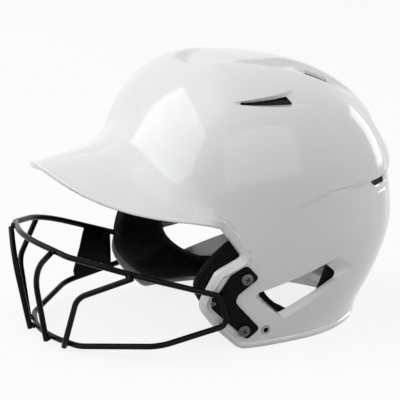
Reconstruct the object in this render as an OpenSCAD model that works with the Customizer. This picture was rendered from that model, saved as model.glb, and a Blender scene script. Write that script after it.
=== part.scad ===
// Batting helmet with a wire face guard, resting on its lower rim.
// The wearer faces -Y, the wearer's left is +X. Lengths along the head are
// given from the ear line, the widest section of the shell.

/* [Shell] */
// Height of the crown above the rim
crown_h = 204; // [192:1:216]
// Half of the width over the ears
half_width = 100; // [94:1:108]
// Reach of the forehead ahead of the ear line
brow_reach = 80; // [74:1:88]
// Reach of the back of the head behind the ear line
rear_reach = 151; // [142:1:162]
// Thickness of the moulded wall
wall = 3.2; // [2.6:0.1:4]
// Height at which the sides are widest
side_z = 105; // [95:1:112]
// Height at which the forehead stands furthest out
front_z = 85; // [75:1:95]
// Height at which the back bulges most
rear_z = 78; // [70:1:88]
// How far the sides draw in at the rim
side_tuck = 10; // [6:0.5:14]
// How far the nape draws in at the rim
rear_tuck = 40; // [32:1:46]
// Fullness of the sides, 2 is an ellipse
side_full = 2.6; // [2.2:0.05:3]
// Fullness of the forehead
front_full = 2.0; // [1.9:0.05:2.4]
// Fullness of the back
rear_full = 2.3; // [2.1:0.05:2.6]

/* [Bill] */
// Reach of the bill ahead of the ear line
bill_reach = 140; // [130:1:148]
// Height of the bill's edge at its middle
bill_z = 133; // [126:1:140]
// Height of the bill's edge where it runs into the temple
temple_z = 94; // [90:1:97]
// Angle of the temple from straight ahead
temple_angle = 70; // [66:1:74]
// Height of the brow corner above the bill's edge, at the middle
brow_rise = 6; // [4:1:12]
// Length of the brow fillet on the forehead
brow_fillet_up = 30; // [20:1:36]
// Length of the brow fillet on the bill
brow_fillet_out = 24; // [14:1:28]

/* [Ear flaps] */
// Foremost point of the flap ahead of the ear line
flap_reach = 51; // [46:1:54]
// Height of the flap's foremost point
flap_z = 40; // [36:1:44]
// Depth of the notch below the temple, ahead of the ear line
notch_reach = 18; // [14:1:24]
// Height of the notch
notch_z = 69; // [66:1:72]
// Where the flap meets the lower rim, ahead of the ear line
flap_foot = 16; // [10:1:20]
// Rounding of the ear opening's corners
ear_round = 4; // [2:0.5:6]

/* [Vents] */
// Length of each side vent
side_vent_l = 44; // [34:1:48]
// Height of each side vent
side_vent_h = 5.6; // [4.6:0.2:7]
// Height of the side vents above the rim
side_vent_z = 178.6; // [172:0.2:182]
// Width of each rear vent
rear_vent_w = 20; // [14:1:24]
// Height of each rear vent
rear_vent_h = 6.5; // [5:0.5:9]
// Height of the rear vents above the rim
rear_vent_z = 107; // [100:1:114]
// Length of each crown slot
slot_l = 22; // [16:1:28]
// Width of each crown slot
slot_w = 6; // [4:0.5:8]
// Distance of the crown slots from the middle
slot_x = 28; // [24:1:32]

/* [Crown] */
// Front of the crown's scoop ahead of the ear line
scoop_reach = 23; // [18:1:26]
// Half of the width between the crown's two ridges
ridge_half = 42; // [38:1:44]
// Depth of the scoop and of the channels beside the spine
channel_depth = 5.2; // [3:0.2:5.6]
// Depth of the grooves that hold the crown slots
groove_depth = 4.8; // [3:0.2:5.2]

/* [Lining] */
// Gap between neighbouring pieces of the lining
lining_gap = 0.6; // [0.5:0.05:0.8]
// Thickness of the firm foam
foam = 9; // [6:0.5:11]
// Thickness of the soft pads over the foam
pad = 9; // [6:0.5:11]
// Thickness of the ear pads
ear_pad = 21; // [16:0.5:23]

/* [Face guard] */
// Diameter of the wire
wire_d = 4.4; // [3.6:0.1:5]
// Half of the guard's width where its sides begin to close
guard_half = 92; // [90:0.5:94]
// Reach of the upper ring ahead of the ear line
ring_reach = 152; // [148:1:156]
// Height of the upper ring at the front
ring_z = 80; // [74:1:84]
// Reach of the lower ring ahead of the ear line
foot_reach = 142; // [138:1:146]
// Height of the lower ring's centre line at the front
foot_z = 5; // [4:0.5:8]
// Radius of the upper ring's corners
ring_bend = 16; // [10:1:20]
// Depth to which crossing wires sink into each other at a weld
weld_sink = 0.15; // [0.1:0.05:0.3]

/* [Mounting plates] */
// Thickness of the steel plates
plate_t = 1.8; // [1.4:0.1:2.2]
// Diameter of the screw heads
head_d = 9; // [8:0.1:9.4]
// Diameter of the screw shanks
screw_d = 4.8; // [4:0.1:5]
// Clearance round a screw in its hole
screw_gap = 0.25; // [0.15:0.05:0.4]
// Thickness of the label plate
label_t = 1.2; // [0.8:0.1:1.6]

/* [Chin strap insert] */
// Thread size of the insert's bore
insert_bore = 4; // [3:0.1:4.4]
// Outer diameter of the insert
insert_d = 7; // [6:0.1:8]
// Height of the insert above the rim
insert_z = 13.5; // [12:0.5:16]

/* [Hidden] */

$fn = 48;
shell_colour = [0.86, 0.86, 0.87];
foam_colour = [0.16, 0.16, 0.17];
fabric_colour = [0.07, 0.07, 0.08];
steel_colour = [0.12, 0.12, 0.13];
screw_colour = [0.72, 0.72, 0.74];

function clamp01(v) = max(0, min(1, v));
function mix(a, b, t) = a * (1 - t) + b * t;
// Half-size of a section at height z: r at its fullest height, drawn in below it
function swell(z, r, full_z, full, tuck, power, inset) =
    let (top = crown_h - inset,
         up = clamp01((z - full_z) / (top - full_z)),
         down = clamp01((full_z - z) / full_z))
    (r - inset) * pow(max(0, 1 - pow(up, full)), 1 / full) - tuck * pow(down, power);
function half_x(z, i) = swell(z, half_width, side_z, side_full, side_tuck, 2, i);
function front_y(z, i) = swell(z, brow_reach, front_z, front_full, 0, 2, i);
function rear_y(z, i) = swell(z, rear_reach, rear_z, rear_full, rear_tuck, 1.8, i);
// Point of the head form at angle a from straight ahead, at height z, set in by i
function skin(a, z, i = 0) =
    let (f = front_y(z, i), b = rear_y(z, i))
    [half_x(z, i) * sin(a), -cos(a) * ((f + b) / 2 + (f - b) / 2 * cos(a)), z];
// Angle of the head form's point at length y and height z
function angle_at(y, z, i = 0) =
    let (f = front_y(z, i), b = rear_y(z, i), s = (f + b) / 2, d = (f - b) / 2,
         root = s * s - 4 * d * y)
    acos(max(-1, min(1, (sqrt(max(0, root)) - s) / (2 * d))));
function side_point(y, z, i = 0) = skin(angle_at(y, z, i), z, i);

function bezier(c, t) = len(c) == 1 ? c[0] :
    bezier([for (k = [0:len(c) - 2]) mix(c[k], c[k + 1], t)], t);

// Bill: the edge sweeps from temple to temple, u is -1 at one and 1 at the other
edge_heights = [bill_z, bill_z, temple_z + 4, temple_z + 13.5, temple_z];
function edge_z(u) = bezier(edge_heights, abs(u));
temple = skin(temple_angle, temple_z);
function bill_edge(u) = let (t = 90 * abs(u))
    [sign(u) * temple[0] * sin(t),
     temple[1] - (temple[1] + bill_reach) * pow(cos(t), 1.1), edge_z(u)];
function corner_z(u) = let (v = abs(u))
    edge_z(u) + brow_rise * (1 - v) + 48 * v * (1 - v) + 8 * v;
function fillet_up(u) = brow_fillet_up * pow(max(0, cos(90 * abs(u))), 0.5);

dome_rows = 10;
fillet_rows = 4;
bill_rows = 3;
cap_rows = dome_rows + fillet_rows + bill_rows;
// Point of the bill's meridian u on row k, counted from the crown, for a wall depth i
function bill_point(u, k, i) =
    let (drop = i * 1.05,
         zc = corner_z(u) - drop * (1 - abs(u)),
         z1 = zc + max(fillet_up(u), 4),
         c = skin(temple_angle * u, zc, i),
         a = skin(temple_angle * u, z1, i),
         edge = bill_edge(u),
         q = [edge[0] * (1 - i / half_width), edge[1] + i * abs(u), edge[2] - drop * (1 - abs(u))],
         out = min(brow_fillet_out, 0.45 * norm(q - c)),
         e = c + (q - c) * out / norm(q - c))
    k <= dome_rows ? skin(temple_angle * u, mix(crown_h - i, z1, 1 - cos(90 * k / dome_rows)), i) :
    k <= dome_rows + fillet_rows ? bezier([a, c, e], (k - dome_rows) / fillet_rows) :
    mix(e, q, (k - dome_rows - fillet_rows) / bill_rows);

// Flap: the face opening's side edge from the temple down to the rim
function flap_edge(t) =
    t < 0.25 ? bezier([[temple[1], temple_z], [mix(temple[1], -notch_reach, 0.45), mix(temple_z, notch_z, 0.45)],
                       [-notch_reach - 2, notch_z + 3]], t * 4) :
    t < 0.4 ? bezier([[-notch_reach - 2, notch_z + 3], [-notch_reach, notch_z],
                      [-notch_reach - 6, notch_z - 2.7]], (t - 0.25) / 0.15) :
    t < 0.75 ? bezier([[-notch_reach - 6, notch_z - 2.7], [-flap_reach + 10, notch_z - 10],
                       [-flap_reach - 3, flap_z + 6], [-flap_reach + 4, flap_z - 5]], (t - 0.4) / 0.35) :
    bezier([[-flap_reach + 4, flap_z - 5], [-flap_foot - 13, 12.5], [-flap_foot - 8, 0], [3 - flap_foot, 0]],
           (t - 0.75) / 0.25);
flap_rows = 18;
edge_rows = [for (k = [1:flap_rows]) flap_edge(k / flap_rows)];
all_rows = cap_rows + flap_rows;

front_steps = 12;
back_steps = 16;
columns = 2 * (front_steps + back_steps);
// Columns run once round: 0 is straight ahead, half way is straight behind
function column_side(c) = c <= columns / 2 ? 1 : -1;
function column_step(c) = c <= columns / 2 ? c : columns - c;
function shell_point(c, k, i) =
    let (n = column_step(c), s = column_side(c), v = (n - front_steps) / back_steps)
    n <= front_steps ? bill_point(s * n / front_steps, k, i) :
    let (p = bill_point(s, min(k, cap_rows), i))
    k <= cap_rows ? skin(s * mix(temple_angle, 180, v), p[2], i) :
    let (e = edge_rows[k - cap_rows - 1])
    skin(s * mix(angle_at(e[0], e[1]), 180, v), e[1], i);
function edge_point(s, k, i) =
    let (e = edge_rows[k - cap_rows - 1]) skin(s * angle_at(e[0], e[1]), e[1], i);
function node_point(c, k, i) =
    column_step(c) == front_steps && k > cap_rows ? edge_point(column_side(c), k, i) :
    shell_point(c, k, i);

// The shell's skin is a grid: every column has the cap's rows, and the columns
// from temple round to temple have the flap's rows below them as well
rear_first = front_steps;
rear_count = 2 * back_steps + 1;
cap_size = columns * cap_rows;
side_size = 1 + cap_size + rear_count * flap_rows;
function cap_id(c, k, base) = k == 0 ? base : base + 1 + (k - 1) * columns + c % columns;
function grid_id(c, k, base) = k <= cap_rows ? cap_id(c, k, base) :
    base + 1 + cap_size + (k - cap_rows - 1) * rear_count + (c - rear_first);
function grid_points(i) = concat(
    [[0, 0, crown_h - i]],
    [for (k = [1:cap_rows]) for (c = [0:columns - 1]) shell_point(c, k, i)],
    [for (k = [cap_rows + 1:all_rows]) for (c = [rear_first:rear_first + rear_count - 1])
        node_point(c, k, i)]);
function quad(a, b, c, d) = [[a, b, c], [a, c, d]];
function flip(faces) = [for (f = faces) [f[2], f[1], f[0]]];
function grid_faces(base) = concat(
    [for (c = [0:columns - 1]) [grid_id(c, 0, base), cap_id(c + 1, 1, base), cap_id(c, 1, base)]],
    [for (k = [1:cap_rows - 1]) for (c = [0:columns - 1])
        for (f = quad(cap_id(c, k, base), cap_id(c + 1, k, base),
                      cap_id(c + 1, k + 1, base), cap_id(c, k + 1, base))) f],
    [for (k = [cap_rows:all_rows - 1]) for (c = [rear_first:rear_first + rear_count - 2])
        for (f = quad(grid_id(c, k, base), grid_id(c + 1, k, base),
                      grid_id(c + 1, k + 1, base), grid_id(c, k + 1, base))) f]);
// Ids round the free edge: along the bill, down one flap, along the rim, up the other
function edge_ids(base) = concat(
    [for (c = [-front_steps:front_steps]) cap_id(c + columns, cap_rows, base)],
    [for (k = [cap_rows + 1:all_rows]) grid_id(rear_first, k, base)],
    [for (c = [rear_first + 1:rear_first + rear_count - 1]) grid_id(c, all_rows, base)],
    [for (k = [all_rows - 1:-1:cap_rows + 1]) grid_id(rear_first + rear_count - 1, k, base)]);

module shell_body() {
    outer = edge_ids(0);
    inner = edge_ids(side_size);
    n = len(outer);
    rim = [for (k = [0:n - 1]) let (m = (k + 1) % n)
        for (f = quad(outer[k], outer[m], inner[m], inner[k])) f];
    polyhedron(points = concat(grid_points(0), grid_points(wall)),
               faces = concat(grid_faces(0), flip(grid_faces(side_size)), flip(rim)));
}

// Crown: a scoop ahead of a raised spine, a channel on each side of it and a groove
// round each slot. Depth below the form at a place in plan
function smooth(v, a, b) = let (t = clamp01((v - a) / (b - a))) t * t * (3 - 2 * t);
ridge_run = 71;
function ridge_x(y) = ridge_half * pow(clamp01((y + scoop_reach) / ridge_run), 0.3);
function spine_x(y) = 15.5 + 12.5 * (1 - smooth(y, 18, 60)) + 9.5 * smooth(y, 62, 100);
function groove_x(y) = 27 + 5 * (1 - smooth(y, 44, 66));
spine_side = 3;
groove_side = 2.5;
function hollow(x, y) =
    let (side = abs(x), r = ridge_x(y), s = spine_x(y), g = groove_x(y),
         beside = max(clamp01((side - s) / spine_side), 1 - smooth(y, -16, 14)),
         channel = channel_depth * smooth(y, -scoop_reach, -13)
                   * (1 - 0.45 * clamp01((y - 30) / 50)) * (1 - smooth(y, 88, 114)),
         groove = groove_depth * smooth(y, 46, 66) * (1 - smooth(y, 87, 97)))
    max(channel * beside * clamp01((r - side) / max(9, r - s)),
        groove * clamp01((side - g) / groove_side)
        * clamp01((r - side) / max(1, r - g - groove_side)));
// Height of the head form over a place in plan, found by halving
function form_height(x, y, low, high, steps) =
    let (z = (low + high) / 2, h = half_x(z, 0), f = front_y(z, 0), b = rear_y(z, 0),
         c = abs(x) < h ? sqrt(1 - x * x / (h * h)) : 0,
         inside = abs(x) < h && y > -c * ((f + b) / 2 + (f - b) / 2 * c)
                  && y < c * ((f + b) / 2 - (f - b) / 2 * c))
    steps == 0 ? z :
    inside ? form_height(x, y, z, high, steps - 1) : form_height(x, y, low, z, steps - 1);
function crown_z(x, y) = form_height(x, y, 110, crown_h, 15);
function crown_point(x, y, depth) =
    let (out = unit([crown_z(x - 1, y) - crown_z(x + 1, y), crown_z(x, y - 1) - crown_z(x, y + 1), 2]))
    [x, y, crown_z(x, y)] - out * depth;
hollow_rows = 16;
function hollow_y(j) = mix(-scoop_reach + 0.5, 116, pow(j / hollow_rows, 1.3));
// Columns follow the spine's edge, the groove and the ridge
function hollow_columns(y) =
    let (r = ridge_x(y),
         spine = min(spine_x(y), 0.8 * r),
         foot = min(spine_x(y) + spine_side, 0.88 * r),
         lip = max(foot + 0.4, min(groove_x(y), 0.92 * r)),
         bed = max(lip + 0.4, min(groove_x(y) + groove_side, 0.96 * r)))
    [-r, -bed, -lip, -foot, -spine, -spine / 2, 0, spine / 2, spine, foot, lip, bed, r];
hollow_last = 12;
// A block that follows the crown between two depths, given at each place of the hollow
module crown_block(low, high) {
    n = (hollow_last + 1) * (hollow_rows + 1);
    function id(i, j, upper) = (upper ? n : 0) + i * (hollow_rows + 1) + j;
    ring = concat([for (i = [0:hollow_last]) [i, 0]], [for (j = [1:hollow_rows]) [hollow_last, j]],
                  [for (i = [hollow_last - 1:-1:0]) [i, hollow_rows]],
                  [for (j = [hollow_rows - 1:-1:1]) [0, j]]);
    m = len(ring);
    sheet = [for (i = [0:hollow_last - 1]) for (j = [0:hollow_rows - 1])
        for (f = quad(id(i, j, false), id(i + 1, j, false), id(i + 1, j + 1, false), id(i, j + 1, false))) f];
    sides = [for (k = [0:m - 1]) let (p = ring[k], q = ring[(k + 1) % m])
        for (f = quad(id(p[0], p[1], false), id(p[0], p[1], true),
                      id(q[0], q[1], true), id(q[0], q[1], false))) f];
    polyhedron(points = concat(low, high),
               faces = concat(sheet, [for (f = flip(sheet)) f + [n, n, n]], sides));
}
// Depth at each place: share of the hollow, plus a depth all over
function crown_sheet(share, more) =
    [for (i = [0:hollow_last]) for (j = [0:hollow_rows])
        let (y = hollow_y(j), x = hollow_columns(y)[i]) crown_point(x, y, share * hollow(x, y) + more)];
// The cutter rides a little above the skin where there is no hollow
module crown_cutter() crown_block(crown_sheet(1.15, -0.8), crown_sheet(0, -9));
floor_wall = 2.8;
// The wall under the hollow, its upper side hidden inside the shell's own wall
module crown_floor(gap) crown_block(crown_sheet(1, floor_wall + gap), crown_sheet(0, wall / 2));

// A rounded slot through the wall: corners in the YZ plane, cut along X from x0 to x1
module side_cutter(corners, round, x0, x1) {
    hull()
        for (c = corners)
            translate([x0, c[0], c[1]])
                rotate([0, 90, 0])
                    cylinder(r = round, h = x1 - x0, $fn = 16);
}
ear_corners = [[-3, 43], [51, 53], [59, 47], [13, 30]];
module ear_opening(s) {
    x = side_point(25, 40)[0];
    side_cutter(ear_corners, ear_round, s > 0 ? x - 25 : -x - 25,
                s > 0 ? x + 25 : -x + 25);
}
vent_y = 9;
vent_round = 1.1;
module side_vent(s) {
    // A wedge, pointed at the front and slanted at the back
    side_cutter([[vent_y - side_vent_l / 2 + vent_round, side_vent_z + 1],
                 [vent_y + side_vent_l / 2 - 3.5, side_vent_z + side_vent_h / 2 - vent_round],
                 [vent_y + side_vent_l / 2 - vent_round, side_vent_z - side_vent_h / 2 + vent_round]],
                vent_round, s > 0 ? 40 : -120, s > 0 ? 120 : -40);
}
module rear_vent(s) {
    at = skin(s * 146, rear_vent_z);
    translate(at)
        rotate([0, 0, s * 56])
            hull()
                for (x = [-1, 1])
                    translate([x * (rear_vent_w - rear_vent_h) / 2, 25, 0])
                        rotate([90, 0, 0])
                            cylinder(d = rear_vent_h, h = 50, $fn = 16);
}
module crown_slot(s) {
    at = skin(s * 147, 184);
    translate([s * slot_x, at[1], 150])
        hull()
            for (y = [-1, 1])
                translate([0, y * (slot_l - slot_w) / 2, 0])
                    cylinder(d = slot_w, h = 60, $fn = 16);
}
// Screw places on the left flap, as length and height; the right flap mirrors them
screw_places = [[-17, 56.4], [-16.8, 16.2]];
insert_y = 1.4;
// Places children on a flap's skin at [length, height], Z pointing out of the skin
module at_flap(s, place) {
    at = side_point(place[0], place[1]);
    along = side_point(place[0] + 1, place[1]) - side_point(place[0] - 1, place[1]);
    up = side_point(place[0], place[1] + 1) - side_point(place[0], place[1] - 1);
    out = unit(cross(along, up));
    translate([s * at[0], at[1], at[2]])
        rotate([0, acos(out[2]), atan2(out[1], s * out[0])])
            children();
}
module flap_hole(s, place, d) {
    at_flap(s, place)
        cylinder(d = d, h = 20, center = true, $fn = 20);
}
module outer_shell() {
    color(shell_colour)
        translate([0, ear_line, 0])
            difference() {
                union() {
                    shell_body();
                    crown_floor(0);
                }
                crown_cutter();
                for (s = [-1, 1]) {
                    ear_opening(s);
                    side_vent(s);
                    rear_vent(s);
                    crown_slot(s);
                    for (p = screw_places)
                        flap_hole(s, p, screw_d + 2 * screw_gap);
                    flap_hole(s, [insert_y, insert_z], insert_d + 2 * screw_gap);
                }
            }
}

// A cushion on the head form between angles a0..a1 and heights z0..z1. Its back lies
// at depth back, its face bulges by depth t and falls off to the edges
module cushion(a0, a1, z0, z1, back, t, plump, across, high) {
    function edge(v) = pow(1 - pow(abs(2 * v - 1), plump), 1 / 2.2);
    function place(i, j, face) =
        let (u = i / across, v = j / high,
             // Sides draw in towards the corners
             cu = mix(0.5, u, 1 - 0.05 * pow(2 * v - 1, 4)),
             cv = mix(0.5, v, 1 - 0.07 * pow(2 * u - 1, 4)),
             depth = face ? back + t * (0.3 + 0.7 * edge(u) * edge(v)) : back)
        skin(mix(a0, a1, cu), mix(z0, z1, cv), depth);
    n = (across + 1) * (high + 1);
    function id(i, j, face) = (face ? n : 0) + i * (high + 1) + j;
    function patch(face) = [for (i = [0:across - 1]) for (j = [0:high - 1])
        for (f = quad(id(i, j, face), id(i + 1, j, face), id(i + 1, j + 1, face), id(i, j + 1, face))) f];
    ring = concat([for (i = [0:across]) [i, 0]], [for (j = [1:high]) [across, j]],
                  [for (i = [across - 1:-1:0]) [i, high]], [for (j = [high - 1:-1:1]) [0, j]]);
    m = len(ring);
    walls = [for (k = [0:m - 1]) let (p = ring[k], q = ring[(k + 1) % m])
        for (f = quad(id(p[0], p[1], false), id(q[0], q[1], false),
                      id(q[0], q[1], true), id(p[0], p[1], true))) f];
    polyhedron(points = concat([for (i = [0:across]) for (j = [0:high]) place(i, j, false)],
                               [for (i = [0:across]) for (j = [0:high]) place(i, j, true)]),
               faces = concat(patch(true), flip(patch(false)), walls));
}
foam_back = wall + lining_gap;
pad_back = foam_back + foam + lining_gap;
// A dome cushion over the crown, down to height z0
module dome(z0, back, t, around, high) {
    function place(i, j, depth) =
        skin(360 * i / around, mix(crown_h - depth, z0, 1 - cos(90 * j / high)), depth);
    function depth_at(j) = back + t * (0.35 + 0.65 * pow(1 - pow(j / high, 4), 0.5));
    n = 1 + around * high;
    function id(i, j, base) = j == 0 ? base : base + 1 + (j - 1) * around + (i % around);
    function sheet(base) = concat(
        [for (i = [0:around - 1]) [id(i, 0, base), id(i + 1, 1, base), id(i, 1, base)]],
        [for (j = [1:high - 1]) for (i = [0:around - 1])
            for (f = quad(id(i, j, base), id(i + 1, j, base), id(i + 1, j + 1, base), id(i, j + 1, base))) f]);
    polyhedron(points = concat(
                   [[0, 0, crown_h - back]],
                   [for (j = [1:high]) for (i = [0:around - 1]) place(i, j, back)],
                   [[0, 0, crown_h - back - t]],
                   [for (j = [1:high]) for (i = [0:around - 1]) place(i, j, depth_at(j))]),
               faces = concat(sheet(0), flip(sheet(n)),
                   [for (i = [0:around - 1])
                       for (f = quad(id(i, high, 0), id(i + 1, high, 0),
                                     id(i + 1, high, n), id(i, high, n))) f]));
}
module on_head() {
    translate([0, ear_line, 0])
        children();
}
// Height at a share of the crown's, so that the lining keeps its place in a taller shell
function up(share) = crown_h * share;
module front_liner() {
    color(foam_colour) on_head() cushion(-46, 46, up(0.68), up(0.862), foam_back, foam, 12, 14, 3);
}
module crown_liner() {
    color(foam_colour) on_head()
        difference() {
            dome(up(0.892), foam_back, foam, 28, 3);
            crown_floor(lining_gap);
        }
}
module rear_liner() {
    color(foam_colour) on_head() cushion(138, 222, up(0.235), up(0.814), foam_back, foam, 12, 16, 14);
}
module side_liner(s) {
    color(foam_colour) on_head()
        cushion(s > 0 ? 60 : -124, s > 0 ? 124 : -60, up(0.52), up(0.824), foam_back, foam, 12, 12, 8);
}
module left_side_liner() side_liner(1);
module right_side_liner() side_liner(-1);
module brow_pad() {
    color(fabric_colour) on_head() cushion(-42, 42, up(0.692), up(0.842), pad_back, pad, 3, 18, 6);
}
module crown_pad() {
    color(fabric_colour) on_head() dome(up(0.853), pad_back, pad, 24, 4);
}
module nape_pad() {
    color(fabric_colour) on_head() cushion(146, 214, up(0.265), up(0.598), pad_back, pad, 3, 14, 9);
}
module temple_pad(s) {
    color(fabric_colour) on_head()
        cushion(s > 0 ? 66 : -118, s > 0 ? 118 : -66, up(0.54), up(0.775), pad_back, pad, 3, 12, 8);
}
module left_temple_pad() temple_pad(1);
module right_temple_pad() temple_pad(-1);

// Ear pad: a ring cushion round the ear. Both outlines are closed smooth curves
ear_pad_outline = [[-46, 42], [-50, 60], [-42, 78], [-24, 92], [4, 98], [38, 97], [70, 88],
                   [90, 66], [88, 40], [66, 16], [38, 6], [6, 4], [-18, 5], [-38, 22]];
ear_hole_outline = [[-1, 45], [-2, 53], [3, 60], [13, 64], [26, 67], [44, 69], [61, 68],
                    [71, 59], [72, 45], [61, 29], [46, 19], [31, 20], [18, 28], [6, 37]];
function spline(c, t) =
    let (n = len(c), k = floor(t), f = t - k,
         p = c[(k + n - 1) % n], q = c[k % n], r = c[(k + 1) % n], s = c[(k + 2) % n])
    (p * pow(1 - f, 3) + q * (3 * pow(f, 3) - 6 * f * f + 4)
     + r * (-3 * pow(f, 3) + 3 * f * f + 3 * f + 1) + s * pow(f, 3)) / 6;
ear_steps = 36;
ear_rings = 6;
module ear_ring(s) {
    count = len(ear_pad_outline);
    function flat(i, j) = let (t = count * i / ear_steps)
        mix(spline(ear_hole_outline, t), spline(ear_pad_outline, t), j / ear_rings);
    function depth(j) = ear_pad * (0.25 + 0.75 * pow(1 - pow(abs(2 * j / ear_rings - 1), 2.5), 0.5));
    function place(i, j, face) = let (f = flat(i, j),
        p = side_point(f[0], f[1], foam_back + (face ? depth(j) : 0))) [s * p[0], p[1], p[2]];
    n = ear_steps * (ear_rings + 1);
    function id(i, j, face) = (face ? n : 0) + (i % ear_steps) * (ear_rings + 1) + j;
    function sheet(face) = [for (i = [0:ear_steps - 1]) for (j = [0:ear_rings - 1])
        for (f = quad(id(i, j, face), id(i + 1, j, face), id(i + 1, j + 1, face), id(i, j + 1, face))) f];
    function wall_of(j) = [for (i = [0:ear_steps - 1])
        for (f = quad(id(i, j, false), id(i + 1, j, false), id(i + 1, j, true), id(i, j, true))) f];
    faces = concat(sheet(false), flip(sheet(true)), flip(wall_of(0)), wall_of(ear_rings));
    difference() {
        polyhedron(points = concat([for (i = [0:ear_steps - 1]) for (j = [0:ear_rings]) place(i, j, false)],
                                   [for (i = [0:ear_steps - 1]) for (j = [0:ear_rings]) place(i, j, true)]),
                   faces = s > 0 ? flip(faces) : faces);
        for (p = screw_places)
            ear_hollow(s, p, nut_flange_d, wall + nut_seat + nut_h);
        ear_hollow(s, [insert_y, insert_z], insert_flange, insert_depth);
    }
}
// A hollow in the back of an ear pad for a fitting of diameter d that reaches in to a depth
module ear_hollow(s, place, d, depth) {
    at_flap(s, place)
        translate([0, 0, -depth - lining_gap])
            cylinder(d = d + 2 * lining_gap, h = depth, $fn = 24);
}
module left_ear_pad() color(fabric_colour) on_head() ear_ring(1);
module right_ear_pad() color(fabric_colour) on_head() ear_ring(-1);

// Face guard: round wire bent at given points, swept as a tube of flat facets
function unit(v) = v / norm(v);
arc_steps = 5;
// Points of the arc that rounds the corner b between a and c
function arc(a, b, c, r) =
    let (u = unit(b - a), w = unit(c - b), turn = acos(max(-1, min(1, u * w))),
         centre = b + unit(w - u) * (r / cos(turn / 2)),
         start = unit(b - u * (r * tan(turn / 2)) - centre))
    [for (k = [0:arc_steps]) centre + r * (start * cos(turn * k / arc_steps) + u * sin(turn * k / arc_steps))];
function wire_path(points, radii) =
    let (last = len(points) - 1)
    concat([points[0]],
           [for (k = [1:last - 1]) for (p = arc(points[k - 1], points[k], points[k + 1], radii[k])) p],
           [points[last]]);
wire_sides = 10;
function tube_points(path, across) =
    let (last = len(path) - 1)
    [for (k = [0:last])
        let (t = unit(path[min(k + 1, last)] - path[max(k - 1, 0)]),
             x = unit(cross(t, across)), y = cross(x, t))
        for (j = [0:wire_sides - 1])
            path[k] + (x * cos(360 * j / wire_sides) + y * sin(360 * j / wire_sides)) * wire_d / 2];
module tube(path, across) {
    n = wire_sides;
    last = len(path) - 1;
    sides = [for (k = [0:last - 1]) for (j = [0:n - 1])
        for (f = quad(k * n + j, k * n + (j + 1) % n, (k + 1) * n + (j + 1) % n, (k + 1) * n + j)) f];
    first_cap = [for (j = [1:n - 2]) [0, j + 1, j]];
    last_cap = [for (j = [1:n - 2]) [last * n, last * n + j, last * n + j + 1]];
    polyhedron(points = tube_points(path, across), faces = concat(sides, first_cap, last_cap));
}
function flip_x(p) = [-p[0], p[1], p[2]];
function mirrored(points) = [for (k = [len(points) - 1:-1:0]) flip_x(points[k])];

// The wire lies on the outside of the plates; both rings turn into it and butt together
plate_gap = 0.3;
plate_out = -plate_gap - plate_t;
wire_out = plate_out - wire_d / 2 + weld_sink;
upper_start = side_point(-37, 45, wire_out);
lower_start = side_point(-30, 22, wire_out);
loop_middle = (upper_start + lower_start) / 2;
upper_side = [loop_middle, upper_start, [guard_half, -103, ring_z - 12], [53, -ring_reach + 14, ring_z - 4]];
lower_side = [loop_middle, lower_start, [guard_half - 2, -83, foot_z + 7], [45, -foot_reach + 15, foot_z]];
upper_front = [0, -ring_reach, ring_z];
lower_front = [0, -foot_reach, foot_z];
upright_bend = 6;
module mask_upper_ring() {
    points = concat(upper_side, [upper_front], mirrored(upper_side));
    color(steel_colour) on_head()
        tube(wire_path(points, [0, upright_bend, 60, ring_bend, 90, ring_bend, 60, upright_bend, 0]), [0.2, 0.3, 1]);
}
module mask_lower_ring() {
    points = concat(lower_side, [lower_front], mirrored(lower_side));
    color(steel_colour) on_head()
        tube(wire_path(points, [0, upright_bend, 24, 24, 90, 24, 24, upright_bend, 0]), [0.2, 0.3, 1]);
}

// Upright bars stand in front of both rings, welded to them where they cross
function crossing(a, b, x, down) =
    let (t = (a[0] - x) / (a[0] - b[0]), p = mix(a, b, t),
         out = unit([a[1] - b[1], b[0] - a[0], 0]))
    p + unit(out + [0, 0, -down]) * (wire_d - weld_sink);
inner_top = crossing(upper_side[3], upper_front, 39, 0);
inner_foot = crossing(lower_side[3], lower_front, 15, 0);
outer_top = crossing(upper_side[2], upper_side[3], 89, 2.2);
outer_foot = crossing(lower_side[3], lower_front, 34, 0);
inner_bar = [inner_top - [0, 0, 1], [20, inner_top[1] - 5.5, ring_z - 22], inner_foot - [0, 0, 2.4]];
outer_bar = [outer_top, [58, -133, ring_z - 34], outer_foot - [0, 0, 2.4]];
inner_bend = 36;
outer_bend = 20;
function bar_path(points, bend_r) = wire_path(points, [0, bend_r, 0]);
// The guard's foremost point is on the knee of its inner bars
guard_front = -min([for (p = tube_points(bar_path(inner_bar, inner_bend), [1, 0.2, 0])) p[1]]);
// The frame's origin is the middle of the whole length, at the rim's level
ear_line = (guard_front - rear_reach) / 2;
module bar(points, bend_r, s) {
    path = bar_path(points, bend_r);
    color(steel_colour) on_head()
        tube(s > 0 ? path : [for (p = path) flip_x(p)], [1, 0.2, 0]);
}
module mask_bar_inner_left() bar(inner_bar, inner_bend, 1);
module mask_bar_inner_right() bar(inner_bar, inner_bend, -1);
module mask_bar_outer_left() bar(outer_bar, outer_bend, 1);
module mask_bar_outer_right() bar(outer_bar, outer_bend, -1);

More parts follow.
